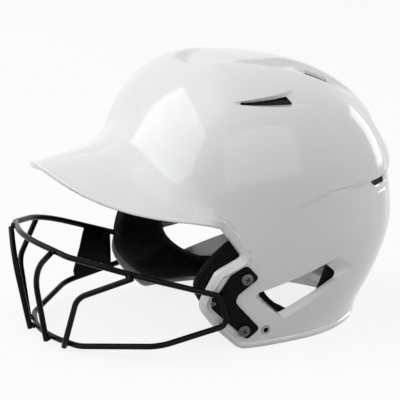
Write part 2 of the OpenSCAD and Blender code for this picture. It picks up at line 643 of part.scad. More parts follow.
// Mounting plate: a steel strip bent to the flap, an upper and a lower arm meeting in
// a wide elbow at the front. Each row of points crosses the strip
plate_rows = [[[-22, 64], [-11.5, 57]], [[-27, 61], [-12, 51.5]], [[-32, 55.5], [-19, 47.5]],
              [[-37, 48.5], [-24.5, 43]], [[-42, 40.5], [-26.5, 38]], [[-38, 33], [-24, 33]],
              [[-31, 25], [-17.5, 27]], [[-25, 18], [-11, 20.5]], [[-20, 12], [-7.5, 15]]];
plate_across = 3;
module mask_plate(s) {
    rows = len(plate_rows);
    n = rows * (plate_across + 1);
    function place(i, j, outer) =
        let (f = mix(plate_rows[i][0], plate_rows[i][1], j / plate_across),
             p = side_point(f[0], f[1], outer ? plate_out : -plate_gap)) [s * p[0], p[1], p[2]];
    function id(i, j, outer) = (outer ? n : 0) + i * (plate_across + 1) + j;
    function sheet(outer) = [for (i = [0:rows - 2]) for (j = [0:plate_across - 1])
        for (f = quad(id(i, j, outer), id(i + 1, j, outer), id(i + 1, j + 1, outer), id(i, j + 1, outer))) f];
    ring = concat([for (i = [0:rows - 1]) [i, 0]], [for (j = [1:plate_across]) [rows - 1, j]],
                  [for (i = [rows - 2:-1:0]) [i, plate_across]], [for (j = [plate_across - 1:-1:1]) [0, j]]);
    m = len(ring);
    walls = [for (k = [0:m - 1]) let (p = ring[k], q = ring[(k + 1) % m])
        for (f = quad(id(p[0], p[1], false), id(q[0], q[1], false),
                      id(q[0], q[1], true), id(p[0], p[1], true))) f];
    faces = concat(sheet(true), flip(sheet(false)), flip(walls));
    color(steel_colour) on_head()
        difference() {
            polyhedron(points = concat([for (i = [0:rows - 1]) for (j = [0:plate_across]) place(i, j, false)],
                                       [for (i = [0:rows - 1]) for (j = [0:plate_across]) place(i, j, true)]),
                       faces = s > 0 ? flip(faces) : faces);
            for (p = screw_places)
                flap_hole(s, p, screw_d + 2 * screw_gap);
        }
}
module left_mask_plate() mask_plate(1);
module right_mask_plate() mask_plate(-1);

// A thin steel plate bridges the two rings on the right side, welded behind their wires.
// Each row has a share of the way down and its front and back ends
label_rows = [[0, -66, -44], [0.45, -71, -44], [0.85, -77, -44], [0.95, -76, -44], [1, -72, -44]];
function on_ring(a, b, y) = mix(a, b, (a[1] - y) / (a[1] - b[1]));
module label_plate() {
    function place(i, j, depth) =
        let (row = label_rows[i], y = row[1 + j],
             high = on_ring(upper_side[1], upper_side[2], y),
             low = on_ring(lower_side[1], lower_side[2], y), p = mix(high, low, row[0]))
        [-(p[0] - wire_d / 2 + weld_sink - depth), p[1], p[2]];
    last = len(label_rows) - 1;
    ids = concat([for (i = [0:last]) 2 * i], [for (i = [last:-1:0]) 2 * i + 1]);
    n = len(ids);
    sheet = [for (i = [0:last - 1]) for (f = quad(2 * i, 2 * i + 2, 2 * i + 3, 2 * i + 1)) f];
    walls = [for (k = [0:n - 1]) for (f = quad(ids[k], ids[(k + 1) % n], ids[(k + 1) % n] + n, ids[k] + n)) f];
    color(steel_colour) on_head()
        polyhedron(points = concat([for (i = [0:last]) for (j = [0:1]) place(i, j, 0)],
                                   [for (i = [0:last]) for (j = [0:1]) place(i, j, label_t)]),
                   faces = concat(sheet, flip([for (f = sheet) [f[0] + n, f[1] + n, f[2] + n]]), flip(walls)));
}

nut_flange = 1.2;
nut_flange_d = 12;
nut_h = 5;
nut_seat = 0.6;
screw_under = plate_gap + plate_t + 0.4;
module mask_screws() {
    color(screw_colour) on_head()
        for (s = [-1, 1])
            for (p = screw_places)
                at_flap(s, p)
                    difference() {
                        union() {
                            translate([0, 0, screw_under])
                                cylinder(d = head_d, h = 1.2);
                            translate([0, 0, screw_under + 1.2])
                                cylinder(d1 = head_d, d2 = head_d * 0.7, h = 1.1);
                            translate([0, 0, -wall - nut_h + 1])
                                cylinder(d = screw_d, h = screw_under + wall + nut_h - 1);
                        }
                        for (a = [0, 90])
                            rotate([0, 0, a + 20])
                                translate([-head_d * 0.28, -0.5, screw_under + 1.1])
                                    cube([head_d * 0.56, 1, 2]);
                    }
}
module mask_tee_nuts() {
    color(screw_colour) on_head()
        for (s = [-1, 1])
            for (p = screw_places)
                at_flap(s, p)
                    translate([0, 0, -wall - nut_seat - nut_h])
                        difference() {
                            union() {
                                cylinder(d = screw_d + 3, h = nut_h);
                                translate([0, 0, nut_h - nut_flange])
                                    cylinder(d = nut_flange_d, h = nut_flange);
                            }
                            translate([0, 0, -1])
                                cylinder(d = screw_d + 0.3, h = nut_h + 2);
                        }
}
rivet_place = [-39, 38.7];
module plate_rivets() {
    color(steel_colour) on_head()
        for (s = [-1, 1])
            at_flap(s, rivet_place)
                translate([0, 0, plate_gap + plate_t + 0.4])
                    cylinder(d1 = 4, d2 = 2.6, h = 0.9, $fn = 24);
}

// Chin strap insert: a flanged metal bush in the flap, with the bore for a snap's screw
insert_flange = 9;
insert_depth = wall + nut_seat + nut_flange;
module strap_insert(s) {
    color(screw_colour) on_head()
        at_flap(s, [insert_y, insert_z])
            difference() {
                union() {
                    translate([0, 0, -insert_depth])
                        cylinder(d = insert_d, h = insert_depth + 0.2);
                    translate([0, 0, -insert_depth])
                        cylinder(d = insert_flange, h = nut_flange);
                }
                translate([0, 0, -insert_depth - 1])
                    cylinder(d = insert_bore, h = insert_depth + 2);
            }
}
module left_strap_insert() strap_insert(1);
module right_strap_insert() strap_insert(-1);

outer_shell();
front_liner();
crown_liner();
rear_liner();
left_side_liner();
right_side_liner();
brow_pad();
crown_pad();
nape_pad();
left_temple_pad();
right_temple_pad();
left_ear_pad();
right_ear_pad();
mask_upper_ring();
mask_lower_ring();
mask_bar_inner_left();
mask_bar_inner_right();
mask_bar_outer_left();
mask_bar_outer_right();
left_mask_plate();
right_mask_plate();
label_plate();
mask_screws();
mask_tee_nuts();
plate_rivets();
left_strap_insert();
right_strap_insert();
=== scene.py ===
from math import acos, atan2, ceil, cos, pi, radians, sin

import bmesh
import bpy
import numpy as np
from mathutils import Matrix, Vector
from mathutils.geometry import delaunay_2d_cdt
from mathutils.kdtree import KDTree


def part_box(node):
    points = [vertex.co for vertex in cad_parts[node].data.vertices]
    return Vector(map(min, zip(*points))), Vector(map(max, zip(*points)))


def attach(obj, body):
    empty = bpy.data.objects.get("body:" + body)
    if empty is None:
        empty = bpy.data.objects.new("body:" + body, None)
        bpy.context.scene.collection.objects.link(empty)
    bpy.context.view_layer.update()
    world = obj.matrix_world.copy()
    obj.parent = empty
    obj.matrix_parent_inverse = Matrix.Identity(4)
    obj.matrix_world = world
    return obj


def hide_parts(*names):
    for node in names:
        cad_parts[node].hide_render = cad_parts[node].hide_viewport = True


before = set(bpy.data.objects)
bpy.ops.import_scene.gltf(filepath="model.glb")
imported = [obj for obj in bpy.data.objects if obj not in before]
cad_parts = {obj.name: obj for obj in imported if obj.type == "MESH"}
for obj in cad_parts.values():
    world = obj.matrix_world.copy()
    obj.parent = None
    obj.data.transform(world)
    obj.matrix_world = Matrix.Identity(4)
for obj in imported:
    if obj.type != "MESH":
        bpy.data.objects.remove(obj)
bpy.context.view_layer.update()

# Sizes are in millimetres. The wearer faces -Y and the wearer's left is +X.
# Lengths run from the ear line, the widest section, and heights from the lower rim.
MM = 0.001
CROWN_H = 204.0
HALF_WIDTH = 100.0
BROW_REACH = 80.0
REAR_REACH = 151.0
EAR_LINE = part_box("outer_shell")[1].y / MM - REAR_REACH
WALL = 3.2
SIDE_Z, FRONT_Z, REAR_Z = 105.0, 85.0, 78.0
SIDE_FULL, FRONT_FULL, REAR_FULL = 2.6, 2.0, 2.3
SIDE_TUCK, REAR_TUCK = 10.0, 40.0
BILL_REACH, BILL_Z = 140.0, 133.0
TEMPLE_Z, TEMPLE_ANGLE = 94.0, 70.0
BROW_RISE, FILLET_UP, FILLET_OUT = 6.0, 30.0, 24.0
FLAP_FOOT = -13.0
LINING_GAP, FOAM, PAD, EAR_PAD = 0.6, 9.0, 9.0, 21.0
FOAM_BACK = WALL + LINING_GAP
PAD_BACK = FOAM_BACK + FOAM + LINING_GAP
WIRE_R = 2.2
PLATE_GAP, PLATE_T = 0.3, 1.8
# Places of the fittings on a flap are lengths and heights
SCREWS = ((-17, 56.4), (-16.8, 16.2))
SCREW_HEAD_D, SCREW_D = 9.0, 4.8
RIVET = (-39, 38.7)
INSERT = (1.4, 13.5)
INSERT_D = 7.0
SIDES = ((1, "left"), (-1, "right"))
HEAD_CENTRE = np.array([0, 30, 80])


def unit(v):
    v = np.asarray(v, float)
    return v / np.maximum(np.linalg.norm(v, axis=-1, keepdims=True), 1e-9)


def mix(a, b, t):
    return a * (1 - t) + b * t


def ramp(v, start, end):
    """0 before start, 1 after end, straight between."""
    return np.clip((v - start) / (end - start), 0, 1)


def ease(v, start, end):
    """0 before start, 1 after end, smooth between."""
    t = ramp(v, start, end)
    return t * t * (3 - 2 * t)


def soft_ramp(v, start, end):
    """A ramp whose two corners are a little rounded."""
    return mix(ramp(v, start, end), ease(v, start, end), 0.5)


def rounded_rise(v, width):
    """0 below zero and v above it, with a round corner between."""
    return np.where(v > width, v, np.maximum(0, v + width) ** 2 / (4 * width))


def bezier(points, t):
    points = [np.asarray(p, float) for p in points]
    while len(points) > 1:
        points = [mix(p, q, t) for p, q in zip(points, points[1:])]
    return points[0]


# The head form: superellipse sections, drawn in towards the rim

def swell(z, reach, full_z, full, tuck, power, inset):
    up = np.clip((z - full_z) / (CROWN_H - inset - full_z), 0, 1)
    down = np.clip((full_z - z) / full_z, 0, 1)
    return (reach - inset) * np.maximum(0, 1 - up**full) ** (1 / full) - tuck * down**power


def front_and_rear(z, inset):
    front = swell(z, BROW_REACH, FRONT_Z, FRONT_FULL, 0, 2, inset)
    rear = swell(z, REAR_REACH, REAR_Z, REAR_FULL, REAR_TUCK, 1.8, inset)
    return front, rear


def skin(angle, z, inset=0.0):
    """Point of the form at an angle from straight ahead and a height, set in from the outside."""
    angle, z, inset = np.broadcast_arrays(*(np.asarray(v, float) for v in (angle, z, inset)))
    front, rear = front_and_rear(z, inset)
    half = swell(z, HALF_WIDTH, SIDE_Z, SIDE_FULL, SIDE_TUCK, 2, inset)
    c, s = np.cos(np.radians(angle)), np.sin(np.radians(angle))
    return np.stack([half * s, -c * ((front + rear) / 2 + (front - rear) / 2 * c), z], -1)


def angle_at(y, z, inset=0.0):
    front, rear = front_and_rear(np.asarray(z, float), inset)
    half, lean = (front + rear) / 2, (front - rear) / 2
    root = np.sqrt(np.maximum(0, half * half - 4 * lean * y))
    return np.degrees(np.arccos(np.clip((root - half) / (2 * lean), -1, 1)))


def side_point(y, z, inset=0.0):
    return skin(angle_at(y, z, inset), z, inset)


def outward(side, y, z):
    """Direction out of a flap's skin, as the screws stand in it."""
    along = side_point(y + 1, z) - side_point(y - 1, z)
    up = side_point(y, z + 1) - side_point(y, z - 1)
    return unit(np.cross(along, up)) * (side, 1, 1)


# The bill and the edge of the face opening

EDGE_HEIGHTS = (BILL_Z, BILL_Z, TEMPLE_Z + 4, TEMPLE_Z + 13.5, TEMPLE_Z)
TEMPLE = skin(TEMPLE_ANGLE, TEMPLE_Z)
DOME_END, FILLET_END, BILL_END = 10, 14, 17


def bill_point(u, k, inset):
    """Point of the bill's meridian u, -1 to 1 from temple to temple, on row k from the crown."""
    u, k = np.broadcast_arrays(np.asarray(u, float), np.asarray(k, float))
    v, turn, drop = abs(u), np.pi / 2 * abs(u), inset * 1.05
    edge_z = bezier(EDGE_HEIGHTS, v)
    corner_z = edge_z + BROW_RISE * (1 - v) + 48 * v * (1 - v) + 8 * v - drop * (1 - v)
    top_z = corner_z + np.maximum(FILLET_UP * np.sqrt(np.maximum(0, np.cos(turn))), 4)
    corner, above = (skin(TEMPLE_ANGLE * u, z, inset) for z in (corner_z, top_z))
    reach = TEMPLE[1] - (TEMPLE[1] + BILL_REACH) * np.maximum(0, np.cos(turn)) ** 1.1
    edge = np.stack([np.sign(u) * TEMPLE[0] * np.sin(turn) * (1 - inset / HALF_WIDTH),
                     reach + inset * v, edge_z - drop * (1 - v)], -1)
    long = np.linalg.norm(edge - corner, axis=-1)
    out = np.minimum(FILLET_OUT, 0.45 * long) / long
    bend = corner + (edge - corner) * out[..., None]
    rise = np.minimum(k / DOME_END, 1)
    dome = skin(TEMPLE_ANGLE * u, mix(CROWN_H - inset, top_z, 1 - np.cos(np.pi / 2 * rise)), inset)
    fillet = bezier([above, corner, bend], ramp(k, DOME_END, FILLET_END)[..., None])
    blade = mix(bend, edge, ramp(k, FILLET_END, BILL_END)[..., None])
    return np.where((k <= DOME_END)[..., None], dome, np.where((k <= FILLET_END)[..., None], fillet, blade))


FLAP_CORNERS = (((-20.4, 73.0), 2.4), ((-37.8, 62.4), 4.0), ((-48.4, 35.4), 8.0),
                ((-36.0, 17.1), 8.0), ((-17.6, 0.0), 4.6))


def flap_path():
    """The face opening's side edge as points, its corners rounded by the lengths given."""
    points = [(TEMPLE[1], TEMPLE_Z), *(corner for corner, trim in FLAP_CORNERS), (FLAP_FOOT, 0)]
    points = [np.array(p, float) for p in points]
    line = [points[0]]
    for before, corner, after, (_, trim) in zip(points, points[1:], points[2:], FLAP_CORNERS):
        ends = corner + unit(before - corner) * trim, corner + unit(after - corner) * trim
        line += [bezier([ends[0], corner, ends[1]], step / 12) for step in range(13)]
    return np.array(line)


FLAP_LINE = flap_path()
FLAP_RUN = np.concatenate([[0], np.cumsum(np.linalg.norm(np.diff(FLAP_LINE, axis=0), axis=1))])


def flap_edge(t):
    """Length and height of the edge at a share of the way from the temple down to the rim."""
    along = np.asarray(t, float) * FLAP_RUN[-1]
    return np.stack([np.interp(along, FLAP_RUN, FLAP_LINE[:, i]) for i in (0, 1)], -1)


def steps_from_edge(finest, coarsest, growth, length):
    """Shares of a length, close together at its start and wider apart along it."""
    places, step = [0.0], finest
    while places[-1] < length:
        places.append(places[-1] + step)
        step = min(coarsest, step * growth)
    return np.array(places) / places[-1]


FRONT_COLUMNS = 44
back_shares = steps_from_edge(0.14, 2.8, 1.09, 235)
half_columns = FRONT_COLUMNS + len(back_shares) - 1
columns = np.arange(-half_columns + 1, half_columns + 1)
dome_rows = DOME_END * (np.arange(1, 97) / 96) ** 1.25
fillet_rows = DOME_END + (FILLET_END - DOME_END) * np.arange(1, 17) / 16
blade_rows = BILL_END - (BILL_END - FILLET_END) * steps_from_edge(0.14, 2.2, 1.2, 45)[::-1][1:]
cap_rows = np.concatenate([dome_rows, fillet_rows, blade_rows])
flap_shares = 1 - steps_from_edge(0.12, 0.9, 1.12, 100)[::-1][1:]


def column_parts(column):
    """Side, share of the way round the front and share of the way round the back."""
    count = np.abs(column)
    back = back_shares[np.clip(count - FRONT_COLUMNS, 0, len(back_shares) - 1)]
    return np.where(column < 0, -1, 1), np.minimum(count / FRONT_COLUMNS, 1), back


def shell_rows(inset):
    """The shell's grid at a depth: cap rows run all round, flap rows only round the back."""
    side, front, back = column_parts(columns)
    cap = bill_point((side * front)[None, :], cap_rows[:, None], inset)
    rear_z = bill_point(1.0, cap_rows, inset)[:, 2]
    rear = skin(side * mix(TEMPLE_ANGLE, 180, back)[None, :], rear_z[:, None], inset)
    cap = np.where((np.abs(columns) <= FRONT_COLUMNS)[None, :, None], cap, rear)
    edge = flap_edge(flap_shares)
    start = angle_at(edge[:, 0], edge[:, 1], inset)[:, None]
    kept = np.abs(columns) >= FRONT_COLUMNS
    flaps = skin((side * mix(start, 180, back[None, :]))[:, kept], edge[:, 1][:, None], inset)
    return cap, flaps, kept


# Relief of the shell, in millimetres out of the form: pairs of numbers say where a part starts and ends

SCOOP_REACH, RIDGE_HALF = 27.0, 42.0
CHANNEL_DEPTH, GROOVE_DEPTH = 5.2, 4.8


def crown_hollow(x, y, z):
    """Depth of the front scoop, of the channels beside the spine and of the slots' grooves."""
    x = np.abs(x)
    ridge = RIDGE_HALF * np.clip((y + SCOOP_REACH) / 75, 0, 1) ** 0.3
    spine = 15.5 + 12.5 * (1 - ease(y, 18, 60)) + 9.5 * ease(y, 62, 100)
    lip = 27 + 5 * (1 - ease(y, 44, 66))
    beside = np.maximum(soft_ramp(x - spine, 0, 3), 1 - ease(y, -16, 14))
    length = ease(y, -SCOOP_REACH, -13) * (1 - ease(y, 88, 114))
    channel = CHANNEL_DEPTH * length * (1 - 0.45 * ramp(y, 30, 80))
    groove = GROOVE_DEPTH * ease(y, 46, 66) * (1 - ease(y, 87, 97))
    wall = rounded_rise(ridge - x, 1.8)
    channel = channel * beside * np.clip(wall / np.maximum(9, ridge - spine), 0, 1)
    groove = groove * soft_ramp(x - lip, -0.5, 3) * np.clip(wall / np.maximum(1, ridge - lip - 2.5), 0, 1)
    return np.where((z > 150) & (x < 60), np.maximum(channel, groove), 0)


def skin_hollow(inner, x, y, z):
    """Depth of the hollows in one skin: the inner skin follows the outer one, a millimetre less."""
    depth = crown_hollow(x, y, z)
    return np.maximum(0, depth - 1) if inner else depth


# Heights of what is raised at the back, and depths of what is sunk there
SIDES_RISE, MIDDLE_RISE, LOW_RISE = 1.9, 1.3, 0.8
STEP_DEPTH, CREASE_DEPTH, SPINE_END_DEPTH = 1.7, 0.45, 1.6
SPINE_END_Z = 151


def rear_crease_z(y):
    return 102 + 9.5 * ease(y, 4, 66) - 1.5 * ease(y, 66, 100)


def rear_relief(x, y, z):
    """The rear panel's raised parts, the step under the rear crease and the end of the spine."""
    x = np.abs(x)
    back = ease(y, 55, 80)
    tall = ease(z, 106, 111) * (1 - ease(z, 164, 182))
    sides = SIDES_RISE * ramp(x, 45, 55) * (1 - ease(x, 56, 84)) * tall * back
    middle = MIDDLE_RISE * (1 - ease(x, 22, 46)) * ease(z, 110, 114.5) * (1 - ease(z, 118, 150)) * back
    low = LOW_RISE * ramp(x, 47.5, 50) * (1 - ease(x, 53, 63)) * ease(z, 60, 94) * (1 - ease(z, 96.4, 98))
    below = rear_crease_z(y) - z
    step = STEP_DEPTH * ease(y, 0, 95) * ramp(below, 0, 1.2) * (1 - ease(below, 6, 48))
    crease = CREASE_DEPTH * ease(y, 20, 70) * np.exp(-(((below - 1.3) / 0.8) ** 2))
    under = SPINE_END_Z - z
    spine_end = (SPINE_END_DEPTH * (1 - ease(x, 26, 40)) * ramp(under, 0, 2.5)
                 * (1 - ease(under, 8, 30)) * ease(y, 60, 90))
    return sides + middle + low * back - step - crease - spine_end


RIM_FLARE, FLARE_H = 4.2, 15


def rim_flare(angle, z):
    """The nape's lower lip turns out."""
    return RIM_FLARE * ease(np.abs(angle), 96, 134) * np.clip(1 - z / FLARE_H, 0, 1) ** 1.8


# The band is higher and slants more on the flap and round the face opening than along the rim
BAND_W, BAND_H, SLANT_H, EDGE_R = 4.6, 0.75, 1.4, 1.35


def edge_relief(distance, banded, z):
    """The raised band round the face opening and the rim, its crease and its rounded corner."""
    slanted = ease(z, 8, 24)
    wide = BAND_W + 2.0 * ease(z, 46, 66)
    corner = EDGE_R * (1 - np.sqrt(np.maximum(0, 1 - (1 - np.clip(distance / EDGE_R, 0, 1)) ** 2)))
    band = mix(BAND_H, SLANT_H, slanted) * (1 - ramp(distance, wide, wide + 0.35))
    chamfer = mix(0.6, 1.8, slanted) * (1 - ramp(distance, 0.4, mix(2.0, wide - 0.5, slanted)))
    crease = 1.0 * np.exp(-(((distance - wide - 0.25) / 0.45) ** 2))
    lip = 0.5 * (1 - ease(distance, 1.6, 3.0))
    return banded * (band - chamfer - crease) + (1 - banded) * lip - corner


EAR_THICKER, EDGE_THINNER = 1.9, 0.4


def grid_normals(grid, wraps):
    along = (np.roll(grid, -1, 1) - np.roll(grid, 1, 1)) if wraps else np.gradient(grid, axis=1)
    return unit(np.cross(np.gradient(grid, axis=0), along))


def shell_surface(inner):
    """Outer or inner skin of the shell, with its relief, as cap rows and flap rows."""
    cap, flaps, kept = shell_rows(WALL if inner else 0.0)
    # The flap columns run on from the cap's, so their normals come from the joined grid
    joined = np.concatenate([cap[:, kept], flaps])
    order = np.argsort(np.where(columns[kept] > 0, columns[kept], columns[kept] + 2 * half_columns))
    undo = np.argsort(order)
    flap_normals = grid_normals(joined[:, order], False)[:, undo][len(cap):]
    cap_normals = grid_normals(cap, True)
    points = np.concatenate([cap.reshape(-1, 3), flaps.reshape(-1, 3)])
    normals = np.concatenate([cap_normals.reshape(-1, 3), flap_normals.reshape(-1, 3)])
    normals *= np.sign(((points - HEAD_CENTRE) * normals).sum(-1, keepdims=True))
    x, y, z = points.T
    angle = np.degrees(np.arctan2(x, -y))
    hollow, flare = skin_hollow(inner, x, y, z), rim_flare(angle, z)
    distance, banded = edge_distance(points, inner)
    if inner:
        move = flare - hollow - EAR_THICKER * ring_share(y, z) * (z < 90)
        move += EDGE_THINNER * (1 - ease(distance, 0, 1))
    else:
        on_bill = (y < -55) & (z > 80)
        move = edge_relief(distance, banded, z) - hollow + flare + np.where(on_bill, 0, rear_relief(x, y, z))
    points = points + normals * move[:, None]
    points[:, 2] = np.maximum(points[:, 2], 0)
    cap_points, flap_points = np.split(points, [cap.shape[0] * cap.shape[1]])
    return cap_points.reshape(cap.shape), flap_points.reshape(flaps.shape), kept


def ring_share(y, z):
    """1 round the ear opening, 0 well away from it."""
    spread = np.hypot((y - 33) / 42, (z - 41 - (y - 33) * 0.1) / 22)
    return 1 - ease(spread, 1.0, 1.35)


def edge_distance(points, inner):
    """How far each point lies from the free edge, and how much of a band the edge has there."""
    inset = WALL if inner else 0.0
    bill = bill_point(np.linspace(-1, 1, 900), BILL_END, inset)
    side = flap_edge(np.linspace(0, 1, 600))
    flap = side_point(side[:, 0], side[:, 1], inset)
    rim_start = angle_at(FLAP_FOOT, 0.0, inset)
    rim = skin(np.linspace(rim_start, 360 - rim_start, 1600), 0.0, inset)
    loops = [bill, flap, flap * (-1, 1, 1), rim]
    bands = [ease(bill[:, 1], -52, -34), np.ones(len(flap)), np.ones(len(flap)), np.ones(len(rim))]
    edge, band = np.concatenate(loops), np.concatenate(bands)
    tree = KDTree(len(edge))
    for index, point in enumerate(edge):
        tree.insert(point, index)
    tree.balance()
    found = [tree.find(p) for p in points]
    return np.array([f[2] for f in found]), band[[f[1] for f in found]]


# Meshes

def piece_from(name, points, faces):
    """A new object from points in the head's own millimetres."""
    mesh = bpy.data.meshes.new(name)
    mesh.from_pydata(((np.asarray(points, float) + (0, EAR_LINE, 0)) * MM).tolist(), [], faces)
    mesh.validate()
    piece = bpy.data.objects.new(name, mesh)
    bpy.context.scene.collection.objects.link(piece)
    return piece


def outside_out(piece):
    bm = bmesh.new()
    bm.from_mesh(piece.data)
    bmesh.ops.recalc_face_normals(bm, faces=bm.faces)
    bm.to_mesh(piece.data)
    bm.free()
    return piece


def apply_modifiers(piece):
    depsgraph = bpy.context.evaluated_depsgraph_get()
    mesh = bpy.data.meshes.new_from_object(piece.evaluated_get(depsgraph))
    old = piece.data
    piece.modifiers.clear()
    piece.data = mesh
    bpy.data.meshes.remove(old)
    return piece


def finish_piece(piece, material, nodes, sharp=32):
    """Shading, finish, body and the CAD nodes that the piece stands for."""
    for face in piece.data.polygons:
        face.use_smooth = True
    piece.data.set_sharp_from_angle(angle=radians(sharp))
    piece.data.materials.clear()
    piece.data.materials.append(material)
    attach(piece, "root")
    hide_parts(*nodes)


def joined(name, pieces):
    """Several closed meshes as one object."""
    points, faces = [], []
    for piece in pieces:
        first = len(points)
        points += [v.co[:] for v in piece.data.vertices]
        faces += [[first + i for i in face.vertices] for face in piece.data.polygons]
        bpy.data.objects.remove(piece)
    mesh = bpy.data.meshes.new(name)
    mesh.from_pydata(points, [], faces)
    whole = bpy.data.objects.new(name, mesh)
    bpy.context.scene.collection.objects.link(whole)
    return whole


def loft(name, rings):
    """A closed solid through rings that have the same number of points."""
    count = len(rings[0])
    faces = []
    for level in range(len(rings) - 1):
        for i in range(count):
            a, b = level * count + i, level * count + (i + 1) % count
            faces.append((a, b, b + count, a + count))
    faces.append(tuple(range(count))[::-1])
    faces.append(tuple((len(rings) - 1) * count + i for i in range(count)))
    return outside_out(piece_from(name, np.concatenate(rings), faces))


def lathe(name, profile, centre, axis, sides=40):
    """A turned solid: the profile gives radius and height along the axis."""
    axis = unit(axis)
    across = unit(np.cross(axis, (0.2, 0.1, 1)))
    other = np.cross(axis, across)
    turn = np.linspace(0, 2 * pi, sides, endpoint=False)[:, None]
    rings = [centre + axis * h + (across * np.cos(turn) + other * np.sin(turn)) * r for r, h in profile]
    return loft(name, rings)


def rounded_outline(corners, radius, steps=8, runs=20):
    """A convex outline with round corners, whose number of points depends on its corners only."""
    corners = np.asarray(corners, float)
    centre = corners.mean(0)
    arcs = []
    for i, corner in enumerate(corners):
        before, after = unit(corners[i - 1] - corner), unit(corners[(i + 1) % len(corners)] - corner)
        start, end = (np.array([-before[1], before[0]]), np.array([after[1], -after[0]]))
        if (corner - centre) @ start < 0:
            start, end = -start, -end
        first, last = atan2(start[1], start[0]), atan2(end[1], end[0])
        sweep = (last - first + pi) % (2 * pi) - pi
        turn = first + sweep * np.linspace(0, 1, steps + 1)
        arcs.append(corner + radius * np.column_stack([np.cos(turn), np.sin(turn)]))
    points = []
    for i, arc in enumerate(arcs):
        # The straight runs are divided too, so that they can follow a curved wall
        following = arcs[(i + 1) % len(arcs)][0]
        points += [*arc, *(mix(arc[-1], following, step / runs) for step in range(1, runs))]
    return np.array(points)


def cut(piece, cutters):
    """Takes the cutters out of a piece, one after the other."""
    for cutter in cutters:
        modifier = piece.modifiers.new("cut", "BOOLEAN")
        modifier.operation = "DIFFERENCE"
        modifier.solver = "MANIFOLD"
        modifier.object = cutter
    apply_modifiers(piece)
    for cutter in cutters:
        bpy.data.objects.remove(cutter)
    return piece


# Shader nodes, written as expressions

class Socket:
    """A node's output; arithmetic on it adds Math nodes."""

    def __init__(self, nodes, output):
        self.nodes, self.output = nodes, output

    def maths(self, operation, first, second):
        return self.nodes.add("ShaderNodeMath", {"operation": operation}, {0: first, 1: second})

    def __add__(self, other):
        return self.maths("ADD", self, other)

    def __sub__(self, other):
        return self.maths("SUBTRACT", self, other)

    def __rsub__(self, other):
        return self.maths("SUBTRACT", other, self)

    def __mul__(self, other):
        return self.maths("MULTIPLY", self, other)

    __radd__, __rmul__ = __add__, __mul__


class Nodes:
    """The nodes of one finish, or of the studio's backdrop."""

    def __init__(self, owner):
        owner.use_nodes = True
        self.owner, self.tree = owner, owner.node_tree
        self.tree.nodes.clear()

    def add(self, kind, settings=None, sockets=None, output=0):
        """One node: its settings first, then its sockets' values or links."""
        node = self.tree.nodes.new(kind)
        for name, value in (settings or {}).items():
            setattr(node, name, value)
        for name, value in (sockets or {}).items():
            if isinstance(value, Socket):
                self.tree.links.new(value.output, node.inputs[name])
            else:
                node.inputs[name].default_value = value
        return Socket(self, node.outputs[output]) if node.outputs else None

    def place(self):
        """Position on the object in metres, the same for every piece."""
        return self.add("ShaderNodeTexCoord", output="Object")

    def noise(self, place, scale, detail=2.0, roughness=0.5):
        return self.add("ShaderNodeTexNoise", None,
                        {"Vector": place, "Scale": scale, "Detail": detail, "Roughness": roughness})

    def spread(self, value, low, high):
        """Stretches a noise between two levels to 0..1."""
        return self.add("ShaderNodeMapRange", None, {"Value": value, "From Min": low, "From Max": high})

    def bump(self, height, strength, distance):
        return self.add("ShaderNodeBump", None,
                        {"Height": height, "Strength": strength, "Distance": distance})

    def blend(self, share, first, second):
        """A colour between two, by the share of the second."""
        return self.add("ShaderNodeMix", {"data_type": "RGBA"},
                        {0: share, 6: (*first, 1), 7: (*second, 1)}, output=2)

    def vector(self, operation, first, second):
        return self.add("ShaderNodeVectorMath", {"operation": operation}, {0: first, 1: second})

    def warped(self, place, scale, size):
        """A place pushed to and fro a little, for yarn that doesn't run dead straight."""
        wander = self.add("ShaderNodeTexNoise", None,
                          {"Vector": place, "Scale": scale, "Detail": 2.0}, output=1)
        centred = self.vector("SUBTRACT", wander, (0.5, 0.5, 0.5))
        push = self.add("ShaderNodeVectorMath", {"operation": "SCALE"}, {0: centred, "Scale": size})
        return self.vector("ADD", place, push)

    def seen(self):
        """1 for what the camera sees, itself or in a reflection, and 0 for the light of the room."""
        rays = [self.add("ShaderNodeLightPath", output=name)
                for name in ("Is Camera Ray", "Is Glossy Ray", "Is Transmission Ray")]
        return rays[0] + rays[1] + rays[2]

    def coat(self, settings):
        """Ends a finish in one Principled shader with these sockets."""
        shader = self.add("ShaderNodeBsdfPrincipled", None, settings)
        self.add("ShaderNodeOutputMaterial", None, {"Surface": shader})
        return self.owner


def finish_nodes(name):
    return Nodes(bpy.data.materials.new(name))


def gloss_white():
    """Moulded white shell under clear gloss, with faint ripple and handling haze."""
    nodes = finish_nodes("gloss_white")
    place = nodes.place()
    ripple = nodes.noise(place, 260, 1)
    swirl = nodes.noise(place, 34, 3)
    haze = nodes.spread(nodes.noise(place, 14, 4, 0.6), 0.35, 0.75)
    return nodes.coat({
        "Base Color": nodes.blend(haze, (0.80, 0.80, 0.805), (0.83, 0.83, 0.835)),
        "Roughness": 0.12 + haze * 0.04, "IOR": 1.5, "Coat Weight": 0.6, "Coat Roughness": 0.06,
        "Normal": nodes.bump(ripple * 0.7 + swirl * 0.6, 0.04, 0.0006)})


def black_foam():
    """Expanded foam: packed beads, dull, darker in the joints between them."""
    nodes = finish_nodes("black_foam")
    beads = nodes.add("ShaderNodeTexVoronoi", {"feature": "SMOOTH_F1"},
                      {"Vector": nodes.place(), "Scale": 420.0, "Smoothness": 0.35})
    tone = nodes.spread(beads, 0.1, 0.7)
    return nodes.coat({
        "Base Color": nodes.blend(tone, (0.018, 0.018, 0.019), (0.007, 0.007, 0.0075)),
        "Roughness": 0.74 + tone * 0.16, "Specular IOR Level": 0.25,
        "Normal": nodes.bump(1 - tone, 0.5, 0.0007)})


